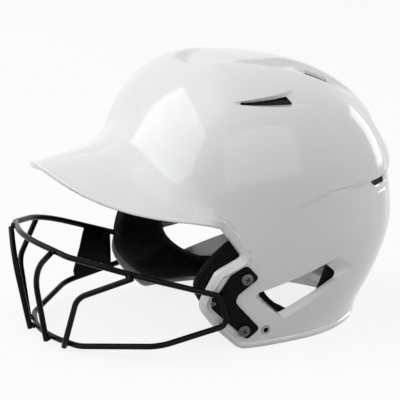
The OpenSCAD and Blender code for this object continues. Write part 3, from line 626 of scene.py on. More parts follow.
def black_knit():
    """Wicking knit over the pads: fine crossed ribs, soft wrinkles and a little sheen."""
    nodes = finish_nodes("black_knit")
    place = nodes.place()
    bent = nodes.warped(place, 40, 0.004)
    ribs = [nodes.add("ShaderNodeTexWave", {"bands_direction": way},
                      {"Vector": bent, "Scale": 190.0, "Distortion": 0.6, "Detail": 1.0})
            for way in ("X", "Z")]
    weave = ribs[0] * ribs[1]
    crease = nodes.noise(bent, 55, 4, 0.62)
    worn = nodes.spread(nodes.noise(place, 22, 3), 0.3, 0.8)
    shade = weave * 0.6 + worn * 0.4
    return nodes.coat({
        "Base Color": nodes.blend(shade, (0.0008, 0.0008, 0.0009), (0.0032, 0.0032, 0.0035)),
        "Roughness": 0.7 + weave * 0.2, "Specular IOR Level": 0.1, "Sheen Weight": 0.016,
        "Normal": nodes.bump(weave * 0.08 + crease, 0.7, 0.003)})


def black_coat(name, shine):
    """Baked black coat on steel, slightly rippled."""
    nodes = finish_nodes(name)
    place = nodes.place()
    grain = nodes.noise(place, 700, 2)
    worn = nodes.spread(nodes.noise(place, 60, 4, 0.6), 0.35, 0.8)
    return nodes.coat({
        "Base Color": nodes.blend(worn, (0.001, 0.001, 0.0011), (0.003, 0.003, 0.0032)),
        "Roughness": 0.15 + worn * 0.1, "Specular IOR Level": shine,
        "Normal": nodes.bump(grain, 0.12, 0.0004)})


def turned_steel(name, light, dark, rough):
    """Plated steel with fine scratches and dull patches."""
    nodes = finish_nodes(name)
    place = nodes.place()
    scratches = nodes.noise(place, 1400, 3)
    patches = nodes.spread(nodes.noise(place, 240, 4, 0.65), 0.3, 0.75)
    return nodes.coat({
        "Base Color": nodes.blend(patches, light, dark), "Metallic": 1.0,
        "Roughness": rough + patches * 0.14, "Normal": nodes.bump(scratches, 0.2, 0.0003)})


FLOOR_GLOW = 0.84


def studio_white():
    """The floor: white to the camera and in reflections, with the object's soft shadow on it."""
    nodes = finish_nodes("studio_white")
    tone = nodes.spread(nodes.noise(nodes.place(), 3, 2), 0.3, 0.7)
    seen = nodes.seen()
    glow = nodes.add("ShaderNodeEmission", None, {"Color": (1, 1, 1, 1), "Strength": 1.0})
    paper = nodes.add("ShaderNodeBsdfPrincipled", None, {
        "Base Color": nodes.blend(seen * 0.9 + tone * 0.06, (0.14, 0.14, 0.14), (1.0, 1.0, 1.0)),
        "Roughness": 1.0, "Specular IOR Level": 0.0})
    surface = nodes.add("ShaderNodeMixShader", None, {0: seen * FLOOR_GLOW, 1: paper, 2: glow})
    nodes.add("ShaderNodeOutputMaterial", None, {"Surface": surface})
    return nodes.owner


SHELL_FINISH = gloss_white()
FOAM_FINISH = black_foam()
KNIT_FINISH = black_knit()
WIRE_FINISH = black_coat("wire_coat", 0.1)
PLATE_FINISH = black_coat("plate_coat", 0.07)
SCREW_FINISH = turned_steel("screw_steel", (0.11, 0.11, 0.113), (0.06, 0.06, 0.063), 0.36)
INSERT_FINISH = turned_steel("insert_steel", (0.34, 0.34, 0.34), (0.22, 0.22, 0.22), 0.34)


# Outer shell

def shell_faces(kept, offset, flipped):
    """Faces of one skin, and the ids of its free edge in order."""
    wide, cap_count = len(columns), len(cap_rows)
    kept_columns = np.flatnonzero(kept)
    slot_of = {int(c): i for i, c in enumerate(kept_columns)}

    def cap_id(row, column):
        return offset + 1 + row * wide + column % wide

    def flap_id(row, column):
        return offset + 1 + cap_count * wide + row * len(kept_columns) + slot_of[column % wide]

    faces = [(offset, cap_id(0, c + 1), cap_id(0, c)) for c in range(wide)]
    for row in range(cap_count - 1):
        for c in range(wide):
            faces.append((cap_id(row, c), cap_id(row, c + 1), cap_id(row + 1, c + 1), cap_id(row + 1, c)))
    first = half_columns - 1 + FRONT_COLUMNS
    last = half_columns - 1 - FRONT_COLUMNS + wide
    rows = len(flap_shares)
    for row in range(rows):
        for c in range(first, last):
            above = cap_id(cap_count - 1, c), cap_id(cap_count - 1, c + 1)
            if row > 0:
                above = flap_id(row - 1, c), flap_id(row - 1, c + 1)
            faces.append((*above, flap_id(row, c + 1), flap_id(row, c)))
    edge = [cap_id(cap_count - 1, c) for c in range(last - wide, first + 1)]
    edge += [flap_id(row, first) for row in range(rows)]
    edge += [flap_id(rows - 1, c) for c in range(first + 1, last + 1)]
    edge += [flap_id(row, last) for row in range(rows - 2, -1, -1)]
    return [f[::-1] for f in faces] if flipped else faces, edge


# Openings with a bevelled lip, as the corners of the hole and of the lip round it.
# Ear openings and side vents are given in length and height, rear vents in angle and height.
EAR_HOLE = ((-0.5, 41.3), (56.2, 49.8), (62.6, 44.4), (13.8, 28.2))
EAR_LIP = ((-5.0, 41.0), (64.0, 55.6), (77.6, 47.6), (17.0, 23.6))
SIDE_VENT_HOLE = ((-9.6, 179.4), (29.2, 179.6), (31.6, 175.8))
SIDE_VENT_LIP = ((-15.5, 180.9), (35.2, 183.4), (43.6, 173.6))
REAR_VENT_HOLE = ((139.4, 107.4), (149.0, 110.2), (151.2, 102.8), (142.2, 103.8))
REAR_VENT_LIP = ((138.4, 108.0), (149.6, 111.2), (156.5, 101.5), (142.5, 100.8))
SLOT_X, SLOT_HALF_L, SLOT_HALF_W, SLOT_R = 28.4, 7.6, 2.3, 2.0
SLOT_MIDDLE = skin(147.0, 184.0)[1]
BORE_PLAY, BORE_REACH = 0.5, 14
SQUARE = ((-1, -1), (1, -1), (1, 1), (-1, 1))


def lipped_opening(name, side, surface, hole, lip, lip_depth, hole_depth):
    """A cutter from well outside the wall, down the bevel and through to well inside it."""
    hole, lip = rounded_outline(*hole), rounded_outline(*lip)
    wide = lip + (lip - hole) * (lip_depth + 3.0) / (hole_depth - lip_depth)
    sections = (wide, -14.0), (wide, -3.0), (lip, lip_depth), (hole, hole_depth), (hole, 20.0)
    rings = [surface(outline[:, 0], outline[:, 1], depth) * (side, 1, 1) for outline, depth in sections]
    return loft(name, rings)


def crown_slot(name, side):
    """A slot straight down through the crown, with rounded ends."""
    slot = rounded_outline([(a * (SLOT_HALF_W - SLOT_R), b * SLOT_HALF_L) for a, b in SQUARE], SLOT_R)
    across, along = side * (SLOT_X + slot[:, 0]), SLOT_MIDDLE + slot[:, 1]
    return loft(name, [np.column_stack([across, along, np.full(len(slot), z)]) for z in (150.0, 215.0)])


def bore(name, side, place, diameter):
    centre, r = side_point(*place) * (side, 1, 1), diameter / 2
    return lathe(name, ((r, -BORE_REACH), (r, BORE_REACH)), centre, outward(side, *place), 32)


def shell_cutters():
    # Hole and lip have the radius of their corners, and the last two numbers are their depths
    openings = (("ear_opening", side_point, (EAR_HOLE, 3.6), (EAR_LIP, 3.2), 0.0, 4.6),
                ("side_vent", side_point, (SIDE_VENT_HOLE, 0.7), (SIDE_VENT_LIP, 0.8), 0.0, 3.0),
                ("rear_vent", skin, (REAR_VENT_HOLE, 0.6), (REAR_VENT_LIP, 0.5), 0.3, 3.0))
    cutters = []
    for side, mark in SIDES:
        for name, *opening in openings:
            cutters.append(lipped_opening(f"{mark}_{name}", side, *opening))
        cutters.append(crown_slot(mark + "_crown_slot", side))
        for index, place in enumerate(SCREWS):
            cutters.append(bore(f"{mark}_screw_hole_{index}", side, place, SCREW_D + BORE_PLAY))
        cutters.append(bore(mark + "_insert_hole", side, INSERT, INSERT_D + BORE_PLAY))
    return cutters


def build_shell():
    """The moulding: outer and inner skin, closed along the free edge, with its openings cut."""
    faces, edges, points = [], [], []
    for inner in (False, True):
        cap, flaps, kept = shell_surface(inner)
        offset = len(points)
        depth = WALL if inner else 0.0
        hollow = skin_hollow(inner, *np.array([[0.0], [0.0], [CROWN_H]]))[0]
        pole = (0, 0, CROWN_H - depth - hollow)
        points += [pole, *cap.reshape(-1, 3), *flaps.reshape(-1, 3)]
        some, edge = shell_faces(kept, offset, inner)
        faces += some
        edges.append(edge)
    outer, inside = edges
    for i in range(len(outer)):
        j = (i + 1) % len(outer)
        faces.append((outer[i], outer[j], inside[j], inside[i]))
    shell = outside_out(piece_from("shell", points, faces))
    cut(shell, shell_cutters())
    finish_piece(shell, SHELL_FINISH, ["outer_shell"], 30)


# Wires of the guard

def wire_line(points, radii, fine=14):
    """Straight runs with round bends at the inner points."""
    points = [np.asarray(p, float) for p in points]
    line = [points[0]]
    for before, corner, after, radius in zip(points, points[1:], points[2:], radii):
        arrive, leave = unit(corner - before), unit(after - corner)
        turn = acos(float(np.clip(arrive @ leave, -1, 1)))
        centre = corner + unit(leave - arrive) * radius / cos(turn / 2)
        start = unit(corner - arrive * radius * np.tan(turn / 2) - centre)
        for step in range(fine + 1):
            share = turn * step / fine
            line.append(centre + radius * (start * cos(share) + arrive * sin(share)))
    line.append(points[-1])
    return np.array(line)


END_ROUND = 0.7


def wire(name, line, round_ends, sides=20):
    """A round wire along a line, its ends cut square or dressed round."""
    runs = [line[0]]
    for a, b in zip(line, line[1:]):
        count = max(1, ceil(np.linalg.norm(b - a) / 4))
        runs += [mix(a, b, i / count) for i in range(1, count + 1)]
    line = np.array(runs)
    way = unit(np.gradient(line, axis=0))
    across = unit(np.cross(way, (0.2, 0.3, 1)))
    other = np.cross(way, across)
    turn = np.linspace(0, 2 * pi, sides, endpoint=False)[:, None]
    rings = [p + (a * np.cos(turn) + o * np.sin(turn)) * WIRE_R for p, a, o in zip(line, across, other)]
    if round_ends:
        ends = []
        for at, sign in ((0, -1), (-1, 1)):
            out = sign * way[at] * END_ROUND
            ends.append([line[at] + out * sin(a) - out
                         + (rings[at] - line[at]) * (1 - END_ROUND / WIRE_R * (1 - cos(a)))
                         for a in (0.4, 0.8, 1.2, 1.5)])
        rings = ends[0][::-1] + rings[2:-2] + ends[1]
    return loft(name, rings)


def bead(name, centre, size, seed):
    """A small weld bead, uneven like a real one."""
    draws = np.random.default_rng(seed)
    bm = bmesh.new()
    bmesh.ops.create_icosphere(bm, subdivisions=3, radius=1.0)
    waves = draws.normal(0, 1, (5, 3))
    for vertex in bm.verts:
        p = np.array(vertex.co)
        swell_by = 1 + 0.07 * sum(sin(3 * float(w @ p)) for w in waves) / 2
        vertex.co = Vector(p * size * swell_by)
    points = [np.array(v.co) + centre for v in bm.verts]
    faces = [[v.index for v in face.verts] for face in bm.faces]
    bm.free()
    return piece_from(name, points, faces)


WELD_SINK = 0.15
WIRE_OUT = -PLATE_GAP - PLATE_T - WIRE_R + WELD_SINK
UPPER_START = side_point(-37, 45, WIRE_OUT)
LOWER_START = side_point(-30, 22, WIRE_OUT)
LOOP_MIDDLE = (UPPER_START + LOWER_START) / 2
# The corners of each ring's left half, from the middle of the loop on the flap to the front
UPPER_SIDE = [LOOP_MIDDLE, UPPER_START, np.array([92.0, -103, 68]), np.array([53.0, -138, 76])]
LOWER_SIDE = [LOOP_MIDDLE, LOWER_START, np.array([90.0, -83, 12]), np.array([45.0, -127, 5])]
UPPER_FRONT, LOWER_FRONT = np.array([0.0, -152, 80]), np.array([0.0, -142, 5])
UPPER_BENDS = (6, 60, 16, 90, 16, 60, 6)
LOWER_BENDS = (6, 24, 24, 90, 24, 24, 6)
MIRROR = np.array([-1, 1, 1])


def crossing(a, b, x, down):
    """Where a bar crosses in front of a ring's run, one wire further out."""
    p = mix(a, b, (a[0] - x) / (a[0] - b[0]))
    out = unit([a[1] - b[1], b[0] - a[0], 0])
    return p, p + unit(out + (0, 0, -down)) * (2 * WIRE_R - WELD_SINK)


# Where the bars cross the upper and the lower ring, from the middle, and the radius of their bends
INNER_TOP_X, INNER_FOOT_X, INNER_BEND = 39, 15, 36
OUTER_TOP_X, OUTER_FOOT_X, OUTER_BEND = 89, 34, 20
INNER_KNEE_X, INNER_KNEE_OUT, INNER_KNEE_Z = 20, 5.5, 58
OUTER_KNEE = np.array([58, -133, 46])
OUTER_DROP, OUTER_PAST = 2.2, 4
INNER_TOP, BAR_FOOT = (0, 0, 1), (0, 0, 2.4)
BAR_BEAD, BEAD_SHIFT = np.array([1.5, 1.5, 1.9]), 1.9


def build_rings():
    for name, side, front, bends in (("mask_upper_ring", UPPER_SIDE, UPPER_FRONT, UPPER_BENDS),
                                     ("mask_lower_ring", LOWER_SIDE, LOWER_FRONT, LOWER_BENDS)):
        line = wire_line([*side, front, *(p * MIRROR for p in side[::-1])], bends)
        finish_piece(wire(name + "_wire", line, False), WIRE_FINISH, [name], 50)


def build_bars():
    """Two inner and two outer bars, each in front of both rings and welded to them."""
    inner_top = crossing(UPPER_SIDE[3], UPPER_FRONT, INNER_TOP_X, 0)
    inner_foot = crossing(LOWER_SIDE[3], LOWER_FRONT, INNER_FOOT_X, 0)
    outer_top = crossing(UPPER_SIDE[2], UPPER_SIDE[3], OUTER_TOP_X, OUTER_DROP)
    outer_foot = crossing(LOWER_SIDE[3], LOWER_FRONT, OUTER_FOOT_X, 0)
    top, foot = inner_top[1], inner_foot[1]
    inner_knee = INNER_KNEE_X, top[1] - INNER_KNEE_OUT, INNER_KNEE_Z
    inner_line = [top - INNER_TOP, inner_knee, foot - BAR_FOOT]
    top, foot = outer_top[1], outer_foot[1]
    outer_line = [top + unit(top - OUTER_KNEE) * OUTER_PAST, OUTER_KNEE, foot - BAR_FOOT]
    for name, points, bend, welds in (("inner", inner_line, INNER_BEND, (inner_top, inner_foot)),
                                      ("outer", outer_line, OUTER_BEND, (outer_top, outer_foot))):
        for side, mark in SIDES:
            turn = (side, 1, 1)
            parts = [wire("bar", wire_line([np.asarray(p) * turn for p in points], (bend,)), True)]
            for index, (ring, bar) in enumerate(welds):
                for shift in (-BEAD_SHIFT, BEAD_SHIFT):
                    middle = (ring + bar) / 2 * turn + (shift, 0, 0)
                    parts.append(bead("bead", middle, BAR_BEAD, 7 * index + int(shift > 0)))
            bar_piece = joined(f"mask_bar_{name}_{mark}_wire", parts)
            finish_piece(bar_piece, WIRE_FINISH, [f"mask_bar_{name}_{mark}"], 50)


# Steel plates on the flaps

# Corners of the plate with the radii of its bends, and its small holes with theirs
PLATE_OUTLINE = (((-17.3, 66.2), 3.0), ((-8.2, 56.2), 3.0), ((-23.4, 44.6), 5.0), ((-25.2, 38.4), 5.0),
                 ((-5.2, 16.2), 3.0), ((-14.0, 8.6), 3.0), ((-40.4, 34.2), 3.6), ((-40.6, 41.6), 4.0),
                 ((-35.6, 46.6), 2.0), ((-28.6, 59.4), 3.0))
PLATE_HOLES = ((-33.8, 46.8, 0.8), (-24.2, 33.6, 0.7))
PLATE_WELDS = ((-31.2, 46.2, 2.4), (-27.5, 29.4, 2.2), (-33.5, 36.0, 2.0))
PLATE_FACE, PLATE_EDGE = -PLATE_GAP - PLATE_T, 0.35


def bent_outline(corners, fine=6):
    """A closed outline whose corners, turning either way, have their own radii."""
    points = []
    for i, (corner, radius) in enumerate(corners):
        corner = np.array(corner, float)
        before = np.array(corners[i - 1][0], float)
        after = np.array(corners[(i + 1) % len(corners)][0], float)
        arrive, leave = unit(corner - before), unit(after - corner)
        turn = acos(float(np.clip(arrive @ leave, -1, 1)))
        room = min(np.linalg.norm(corner - before), np.linalg.norm(after - corner)) * 0.48
        trim = min(radius * np.tan(turn / 2), room)
        for step in range(fine + 1):
            points.append(bezier([corner - arrive * trim, corner, corner + leave * trim], step / fine))
    return np.array(points)


def inset_outline(outline, distance):
    way = unit(np.roll(outline, -1, 0) - np.roll(outline, 1, 0))
    return outline + np.column_stack([way[:, 1], -way[:, 0]]) * distance


def sheet_points(outline, holes, spacing):
    """Triangles that fill an outline, with its holes left open."""
    loops = [outline, *holes]
    points = [tuple(p) for loop in loops for p in loop]
    edges, first = [], 0
    for loop in loops:
        edges += [(first + i, first + (i + 1) % len(loop)) for i in range(len(loop))]
        first += len(loop)
    low, high = outline.min(0), outline.max(0)
    for a in np.arange(low[0] + spacing / 2, high[0], spacing):
        for b in np.arange(low[1] + spacing / 2, high[1], spacing):
            points.append((a, b))
    filled = delaunay_2d_cdt([Vector(p) for p in points], edges, [], 2, 1e-4)
    return np.array([v[:] for v in filled[0]]), [tuple(f) for f in filled[2]], filled[3]


def pressed_sheet(name, outline, holes, to_point, back, face, soft):
    """A sheet of steel cut to an outline and bent to a form, with its front edge broken."""
    rings = [outline, *holes]
    small = [inset_outline(outline, soft if area_of(outline) > 0 else -soft)]
    small += [inset_outline(h, -soft if area_of(h) > 0 else soft) for h in holes]
    top, top_faces, top_ids = sheet_points(small[0], small[1:], 2.5)
    low, low_faces, low_ids = sheet_points(rings[0], rings[1:], 2.5)
    points = [*to_point(top, face), *to_point(low, back)]
    faces = [tuple(f) for f in top_faces] + [tuple(len(top) + i for i in f)[::-1] for f in low_faces]
    top_of, low_of = first_ids(top_ids), first_ids(low_ids)
    start = 0
    for ring in rings:
        first = len(points)
        points += [*to_point(ring, mix(back, face, 0.8))]
        count = len(ring)
        for i in range(count):
            j = (i + 1) % count
            faces.append((top_of[start + i], top_of[start + j], first + j, first + i))
            faces.append((first + i, first + j, len(top) + low_of[start + j], len(top) + low_of[start + i]))
        start += count
    return outside_out(piece_from(name, points, faces))


def first_ids(sources):
    """Where each given point went in the filled sheet."""
    found = {}
    for index, given in enumerate(sources):
        for source in given:
            found[source] = index
    return found


def area_of(outline):
    x, y = outline.T
    return 0.5 * float(np.sum(x * np.roll(y, -1) - np.roll(x, -1) * y))


def circle(y, z, radius, fine=16):
    turn = np.linspace(0, 2 * pi, fine, endpoint=False)
    return np.column_stack([y + radius * np.cos(turn), z + radius * np.sin(turn)])


def build_plates():
    outline = bent_outline(PLATE_OUTLINE)
    holes = [circle(*hole) for hole in PLATE_HOLES]
    for side, mark in SIDES:
        def on_flap(flat, depth, side=side):
            return side_point(flat[:, 0], flat[:, 1], depth) * (side, 1, 1)
        parts = [pressed_sheet("plate", outline, holes, on_flap, -PLATE_GAP, PLATE_FACE, PLATE_EDGE)]
        for index, (y, z, long) in enumerate(PLATE_WELDS):
            middle = side_point(y, z, PLATE_FACE - 0.2) * (side, 1, 1)
            parts.append(bead("bead", middle, np.array([0.9, long * 0.7, 1.1]), 40 + index))
        steel = joined(mark + "_mask_plate_steel", parts)
        finish_piece(steel, PLATE_FINISH, [mark + "_mask_plate"], 40)


# The plate's rows: share of the way down between the rings, and where its front and rear ends lie
LABEL_ROWS = ((0, -66, -44), (0.45, -71, -44), (0.85, -77, -44), (0.95, -76, -44), (1, -72, -44))
LABEL_T, LABEL_TALL = 1.2, 40


def build_label_plate():
    """The bare plate between the rings on the right side."""
    def on_run(a, b, y):
        return mix(a, b, (a[1] - y) / (a[1] - b[1]))

    def to_point(flat, depth):
        high = np.array([on_run(UPPER_SIDE[1], UPPER_SIDE[2], y) for y in flat[:, 0]])
        low = np.array([on_run(LOWER_SIDE[1], LOWER_SIDE[2], y) for y in flat[:, 0]])
        p = mix(high, low, flat[:, 1:2])
        return (p - np.array([1.0, 0, 0]) * (WIRE_R - WELD_SINK + depth)) * MIRROR

    corners = [(row[1], row[0]) for row in LABEL_ROWS] + [(row[2], row[0]) for row in LABEL_ROWS[::-1]]
    outline = np.array([mix(np.array(a), np.array(b), t) for a, b in zip(corners, corners[1:] + corners[:1])
                        for t in np.arange(0, 1, 0.25)])
    count = len(outline)
    fill, faces, ids = sheet_points(outline * (1, LABEL_TALL), [], 3)
    fill = fill / (1, LABEL_TALL)
    where = first_ids(ids)
    points = [*to_point(fill, 0.0), *to_point(fill, LABEL_T)]
    n = len(fill)
    all_faces = list(faces) + [tuple(n + i for i in f)[::-1] for f in faces]
    for i in range(count):
        a, b = where[i], where[(i + 1) % count]
        all_faces.append((a, b, n + b, n + a))
    plate = outside_out(piece_from("label_plate_steel", points, all_faces))
    finish_piece(plate, PLATE_FINISH, ["label_plate"], 40)


# Fasteners

SHANK_REACH = 7.2
HEAD_EDGE, HEAD_DOME, HEAD_H = 0.9, 1.45, 2.45
# The cross recess: height over the seat of the head, half length and half width
RECESS = ((4, 2.3, 0.45), (2.4, 2.1, 0.4), (0.5, 1.1, 0.3))


def pan_head_screw(name, side, place):
    """A pan-head screw with a cross recess and a plain shank."""
    centre, axis = side_point(*place) * (side, 1, 1), outward(side, *place)
    seat = PLATE_GAP + PLATE_T + 0.15
    r = SCREW_HEAD_D / 2
    profile = [(SCREW_D / 2, -SHANK_REACH), (SCREW_D / 2, seat)]
    profile += [(r - 0.35, seat), (r, seat + 0.35), (r, seat + HEAD_EDGE)]
    for step in range(1, 8):
        turn = radians(84 * step / 7)
        radius = r - 1.5 * (1 - cos(turn)) - 0.28 * r * sin(turn) ** 3
        profile.append((radius, seat + HEAD_EDGE + HEAD_DOME * sin(turn)))
    profile.append((0.3, seat + HEAD_H))
    screw = lathe(name, profile, centre, axis, 48)
    across = unit(np.cross(axis, (0.1, 0.3, 1)))
    other = np.cross(axis, across)
    cutters = []
    for first, second in ((across, other), (other, across)):
        rings = []
        for up, long, wide in RECESS:
            middle = centre + axis * (seat + up)
            rings.append(np.array([middle + first * a * long + second * b * wide
                                   for a, b in ((1, 1), (-1, 1), (-1, -1), (1, -1))]))
        cutters.append(loft("recess", rings))
    return cut(screw, cutters)


def build_fasteners():
    screws, rivets = [], []
    for side, mark in SIDES:
        for index, place in enumerate(SCREWS):
            screws.append(pan_head_screw(f"{mark}_screw_{index}", side, place))
        height = PLATE_GAP + PLATE_T
        profile = [(1.5, height - 0.1), (2.1, height + 0.05), (2.05, height + 0.5), (1.7, height + 0.95),
                   (1.0, height + 1.2), (0.2, height + 1.27)]
        rivets.append(lathe("rivet", profile, side_point(*RIVET) * (side, 1, 1), outward(side, *RIVET)))
    finish_piece(joined("mask_screws_pan_head", screws), SCREW_FINISH, ["mask_screws"])
    finish_piece(joined("plate_rivets_domed", rivets), SCREW_FINISH, ["plate_rivets"])


# Lining: firm foam liners and soft pads

def cushion_grid(angles, heights, back, thick, square, across, high, channels):
    """A crowned cushion's front and back grids, on the form between two angles and two heights."""
    u, v = np.meshgrid(np.linspace(0, 1, across + 1), np.linspace(0, 1, high + 1), indexing="ij")
    cu = mix(0.5, u, 1 - 0.05 * (2 * v - 1) ** 4)
    cv = mix(0.5, v, 1 - 0.07 * (2 * u - 1) ** 4)
    angle, z = mix(angles[0], angles[1], cu), mix(heights[0], heights[1], cv)

    def edge(share):
        return np.maximum(0, 1 - np.abs(2 * share - 1) ** square) ** (1 / 2.2)

    crown = edge(u) * edge(v)
    depth = back + thick * (0.3 + 0.7 * crown) - channels(u, v)
    return skin(angle, z, depth), skin(angle, z, back)


def slab(name, front, rear, wraps=False):
    """A closed mesh from a front grid and a back grid of the same size."""
    n, m = front.shape[:2]
    behind = n * m
    points = [*front.reshape(-1, 3), *rear.reshape(-1, 3)]
    faces = []
    loops = n if wraps else n - 1
    for i in range(loops):
        for j in range(m - 1):
            a, b = i * m + j, (i + 1) % n * m + j
            faces.append((a, b, b + 1, a + 1))
            faces.append((behind + a, behind + a + 1, behind + b + 1, behind + b))
    for i in range(loops):
        for j in (0, m - 1):
            a, b = i * m + j, (i + 1) % n * m + j
            faces.append((a, b, behind + b, behind + a))
    if not wraps:
        for i in (0, n - 1):
            for j in range(m - 1):
                a = i * m + j
                faces.append((a, a + 1, behind + a + 1, behind + a))
    return outside_out(piece_from(name, points, faces))


def share_of_crown(low, high):
    return CROWN_H * low, CROWN_H * high


def grooves(lines_u, lines_v, depth, width):
    """Moulded channels along lines of constant u or v."""
    def at(u, v):
        inside = ramp(np.minimum(np.minimum(u, 1 - u), np.minimum(v, 1 - v)), 0.0, 0.08)
        cuts = [np.exp(-(((u - line) / width) ** 2)) for line in lines_u]
        cuts += [np.exp(-(((v - line) / width) ** 2)) for line in lines_v]
        return depth * inside * np.clip(sum(cuts), 0, 1)
    return at


def dome_grid(low_share, back, thick, around, high, hollowed):
    """A dome's front and back grids over the crown, its back cleared of the shell's hollows or not."""
    i, j = np.meshgrid(np.arange(around), np.arange(1, high + 1) / high, indexing="ij")
    angle = 360 * i / around

    def at(depth):
        return skin(angle, mix(CROWN_H - depth, CROWN_H * low_share, 1 - np.cos(np.pi / 2 * j)), depth)

    depth = back + thick * (0.35 + 0.65 * np.sqrt(1 - j ** 4))
    hollow = skin_hollow(True, *np.moveaxis(at(back), -1, 0)) if hollowed else 0
    return at(depth), at(back + hollow)


def dome_piece(name, low_share, back, thick, around, high, hollowed):
    """A closed dome over the crown."""
    front, rear = dome_grid(low_share, back, thick, around, high, hollowed)
    n, m = front.shape[:2]
    behind = n * m
    poles = (0, 0, CROWN_H - back - thick), (0, 0, CROWN_H - back)
    faces = []
    for i in range(n):
        k = (i + 1) % n
        for j in range(m - 1):
            a, b = i * m + j, k * m + j
            faces.append((a, b, b + 1, a + 1))
            faces.append((behind + a, behind + a + 1, behind + b + 1, behind + b))
        a, b = i * m + m - 1, k * m + m - 1
        faces.append((a, b, behind + b, behind + a))
        faces.append((2 * behind, i * m, k * m))
        faces.append((2 * behind + 1, behind + k * m, behind + i * m))
    return outside_out(piece_from(name, [*front.reshape(-1, 3), *rear.reshape(-1, 3), *poles], faces))


# Cushions: angles, shares of the crown's height, divisions, and channels as lines, depth and width
LINERS = (("front_liner", (-46, 46), (0.68, 0.862), (60, 24), ((0.25, 0.5, 0.75), (), 3.0, 0.012)),
          ("rear_liner", (138, 222), (0.235, 0.814), (60, 72), ((0.34, 0.66), (0.3, 0.62), 3.4, 0.014)),
          ("left_side_liner", (60, 124), (0.52, 0.876), (48, 40), ((0.33, 0.66), (), 3.0, 0.016)),
          ("right_side_liner", (-124, -60), (0.52, 0.876), (48, 40), ((0.34, 0.67), (), 3.0, 0.016)))
PADS = (("brow_pad", (-42, 42), (0.692, 0.842), (60, 24), ((0.25, 0.5, 0.75), (), 2.4, 0.014)),
        ("nape_pad", (146, 214), (0.265, 0.598), (48, 48), ((0.33, 0.67), (0.5,), 2.4, 0.016)),
        ("left_temple_pad", (66, 118), (0.54, 0.775), (40, 36), ((0.5,), (0.5,), 2.2, 0.02)),
        ("right_temple_pad", (-118, -66), (0.54, 0.775), (40, 36), ((0.5,), (0.5,), 2.2, 0.02)))
FOAM_SQUARE, PAD_SQUARE = 12, 3


def build_liners():
    for name, angles, heights, divisions, channels in LINERS:
        front, rear = cushion_grid(angles, share_of_crown(*heights), FOAM_BACK, FOAM, FOAM_SQUARE,
                                   *divisions, grooves(*channels))
        liner = slab(name + "_foam", front, rear)
        finish_piece(liner, FOAM_FINISH, [name], 50)
    crown = dome_piece("crown_liner_foam", 0.892, FOAM_BACK, FOAM, 96, 24, True)
    finish_piece(crown, FOAM_FINISH, ["crown_liner"], 50)


PUFF_CAP = 2.6
FILL_PRESSURE = 4.0
# Before it is filled, a pad is this much thinner and sits this far off what carries it
FILL_ROOM, EAR_FILL_ROOM, SEAT_GAP = 2.2, 2.6, 0.3


def puff(piece, voxel):
    """Fills a fabric cover: the pad swells under pressure, but never back into what carries it."""
    remesh = piece.modifiers.new("even", "REMESH")
    remesh.mode = "VOXEL"
    remesh.voxel_size = voxel * MM
    apply_modifiers(piece)
    count = len(piece.data.vertices)
    rest = np.empty(count * 3)
    piece.data.vertices.foreach_get("co", rest)
    rest = rest.reshape(-1, 3)
    cloth = piece.modifiers.new("fill", "CLOTH")
    cloth.settings.quality = 4
    cloth.settings.use_pressure = True
    cloth.settings.uniform_pressure_force = FILL_PRESSURE
    cloth.settings.effector_weights.gravity = 0
    cloth.settings.tension_stiffness = cloth.settings.compression_stiffness = 30
    scene = bpy.context.scene
    for step in range(1, 21):
        scene.frame_set(step)
    blown = piece.evaluated_get(bpy.context.evaluated_depsgraph_get()).data
    full = np.empty(count * 3)
    blown.vertices.foreach_get("co", full)
    move = full.reshape(-1, 3) - rest
    piece.modifiers.clear()
    scene.frame_set(1)
    out = unit((rest / MM - (HEAD_CENTRE + (0, EAR_LINE, 0))) * (1, 0.7, 0.9))
    move -= out * np.maximum(0, (move * out).sum(-1, keepdims=True))
    long = np.linalg.norm(move, axis=-1, keepdims=True)
    move *= np.minimum(1, PUFF_CAP * MM / np.maximum(long, 1e-9))
    piece.data.vertices.foreach_set("co", (rest + move).ravel())
    piece.data.update()
    return piece


def smooth_once(piece):
    modifier = piece.modifiers.new("soft", "SUBSURF")
    modifier.levels = modifier.render_levels = 1
    return apply_modifiers(piece)


def piping(name, line, radius, sides=8):
    """A thin sewn edge along a closed line."""
    way = unit(np.roll(line, -1, 0) - np.roll(line, 1, 0))
    across = unit(np.cross(way, (0.31, 0.2, 1)))
    other = np.cross(way, across)
    turn = np.linspace(0, 2 * pi, sides, endpoint=False)[:, None]
    rings = [p + (a * np.cos(turn) + o * np.sin(turn)) * radius for p, a, o in zip(line, across, other)]
    faces, count = [], len(rings)
    for k in range(count):
        for i in range(sides):
            a, b = k * sides + i, k * sides + (i + 1) % sides
            c, d = (k + 1) % count * sides + i, (k + 1) % count * sides + (i + 1) % sides
            faces.append((a, b, d, c))
    return outside_out(piece_from(name, np.concatenate(rings), faces))


def border(front):
    """The outline of a cushion's face grid, once round."""
    return np.concatenate([front[:, 0], front[-1, 1:], front[-2::-1, -1], front[0, -2:0:-1]])


def build_pads():
    seat, flat = PAD_BACK + SEAT_GAP, PAD - FILL_ROOM
    for name, (first, last), heights, divisions, channels in PADS:
        low, top = share_of_crown(*heights)
        front, rear = cushion_grid((first + 0.6, last - 0.6), (low + 0.8, top - 0.8), seat, flat,
                                   PAD_SQUARE, *divisions, grooves(*channels))
        seam = border(mix(front, rear, 0.55))
        pad = smooth_once(puff(slab(name, front, rear), 3.4))
        whole = joined(name + "_cover", [pad, piping("seam", seam, 0.7)])
        finish_piece(whole, KNIT_FINISH, [name], 60)
    dome = 0.856, seat, flat, 72, 22, False
    crown = smooth_once(puff(dome_piece("crown_pad", *dome), 3.6))
    front, rear = dome_grid(*dome)
    whole = joined("crown_pad_cover", [crown, piping("seam", mix(front, rear, 0.5)[:, -1], 0.7)])
    finish_piece(whole, KNIT_FINISH, ["crown_pad"], 60)


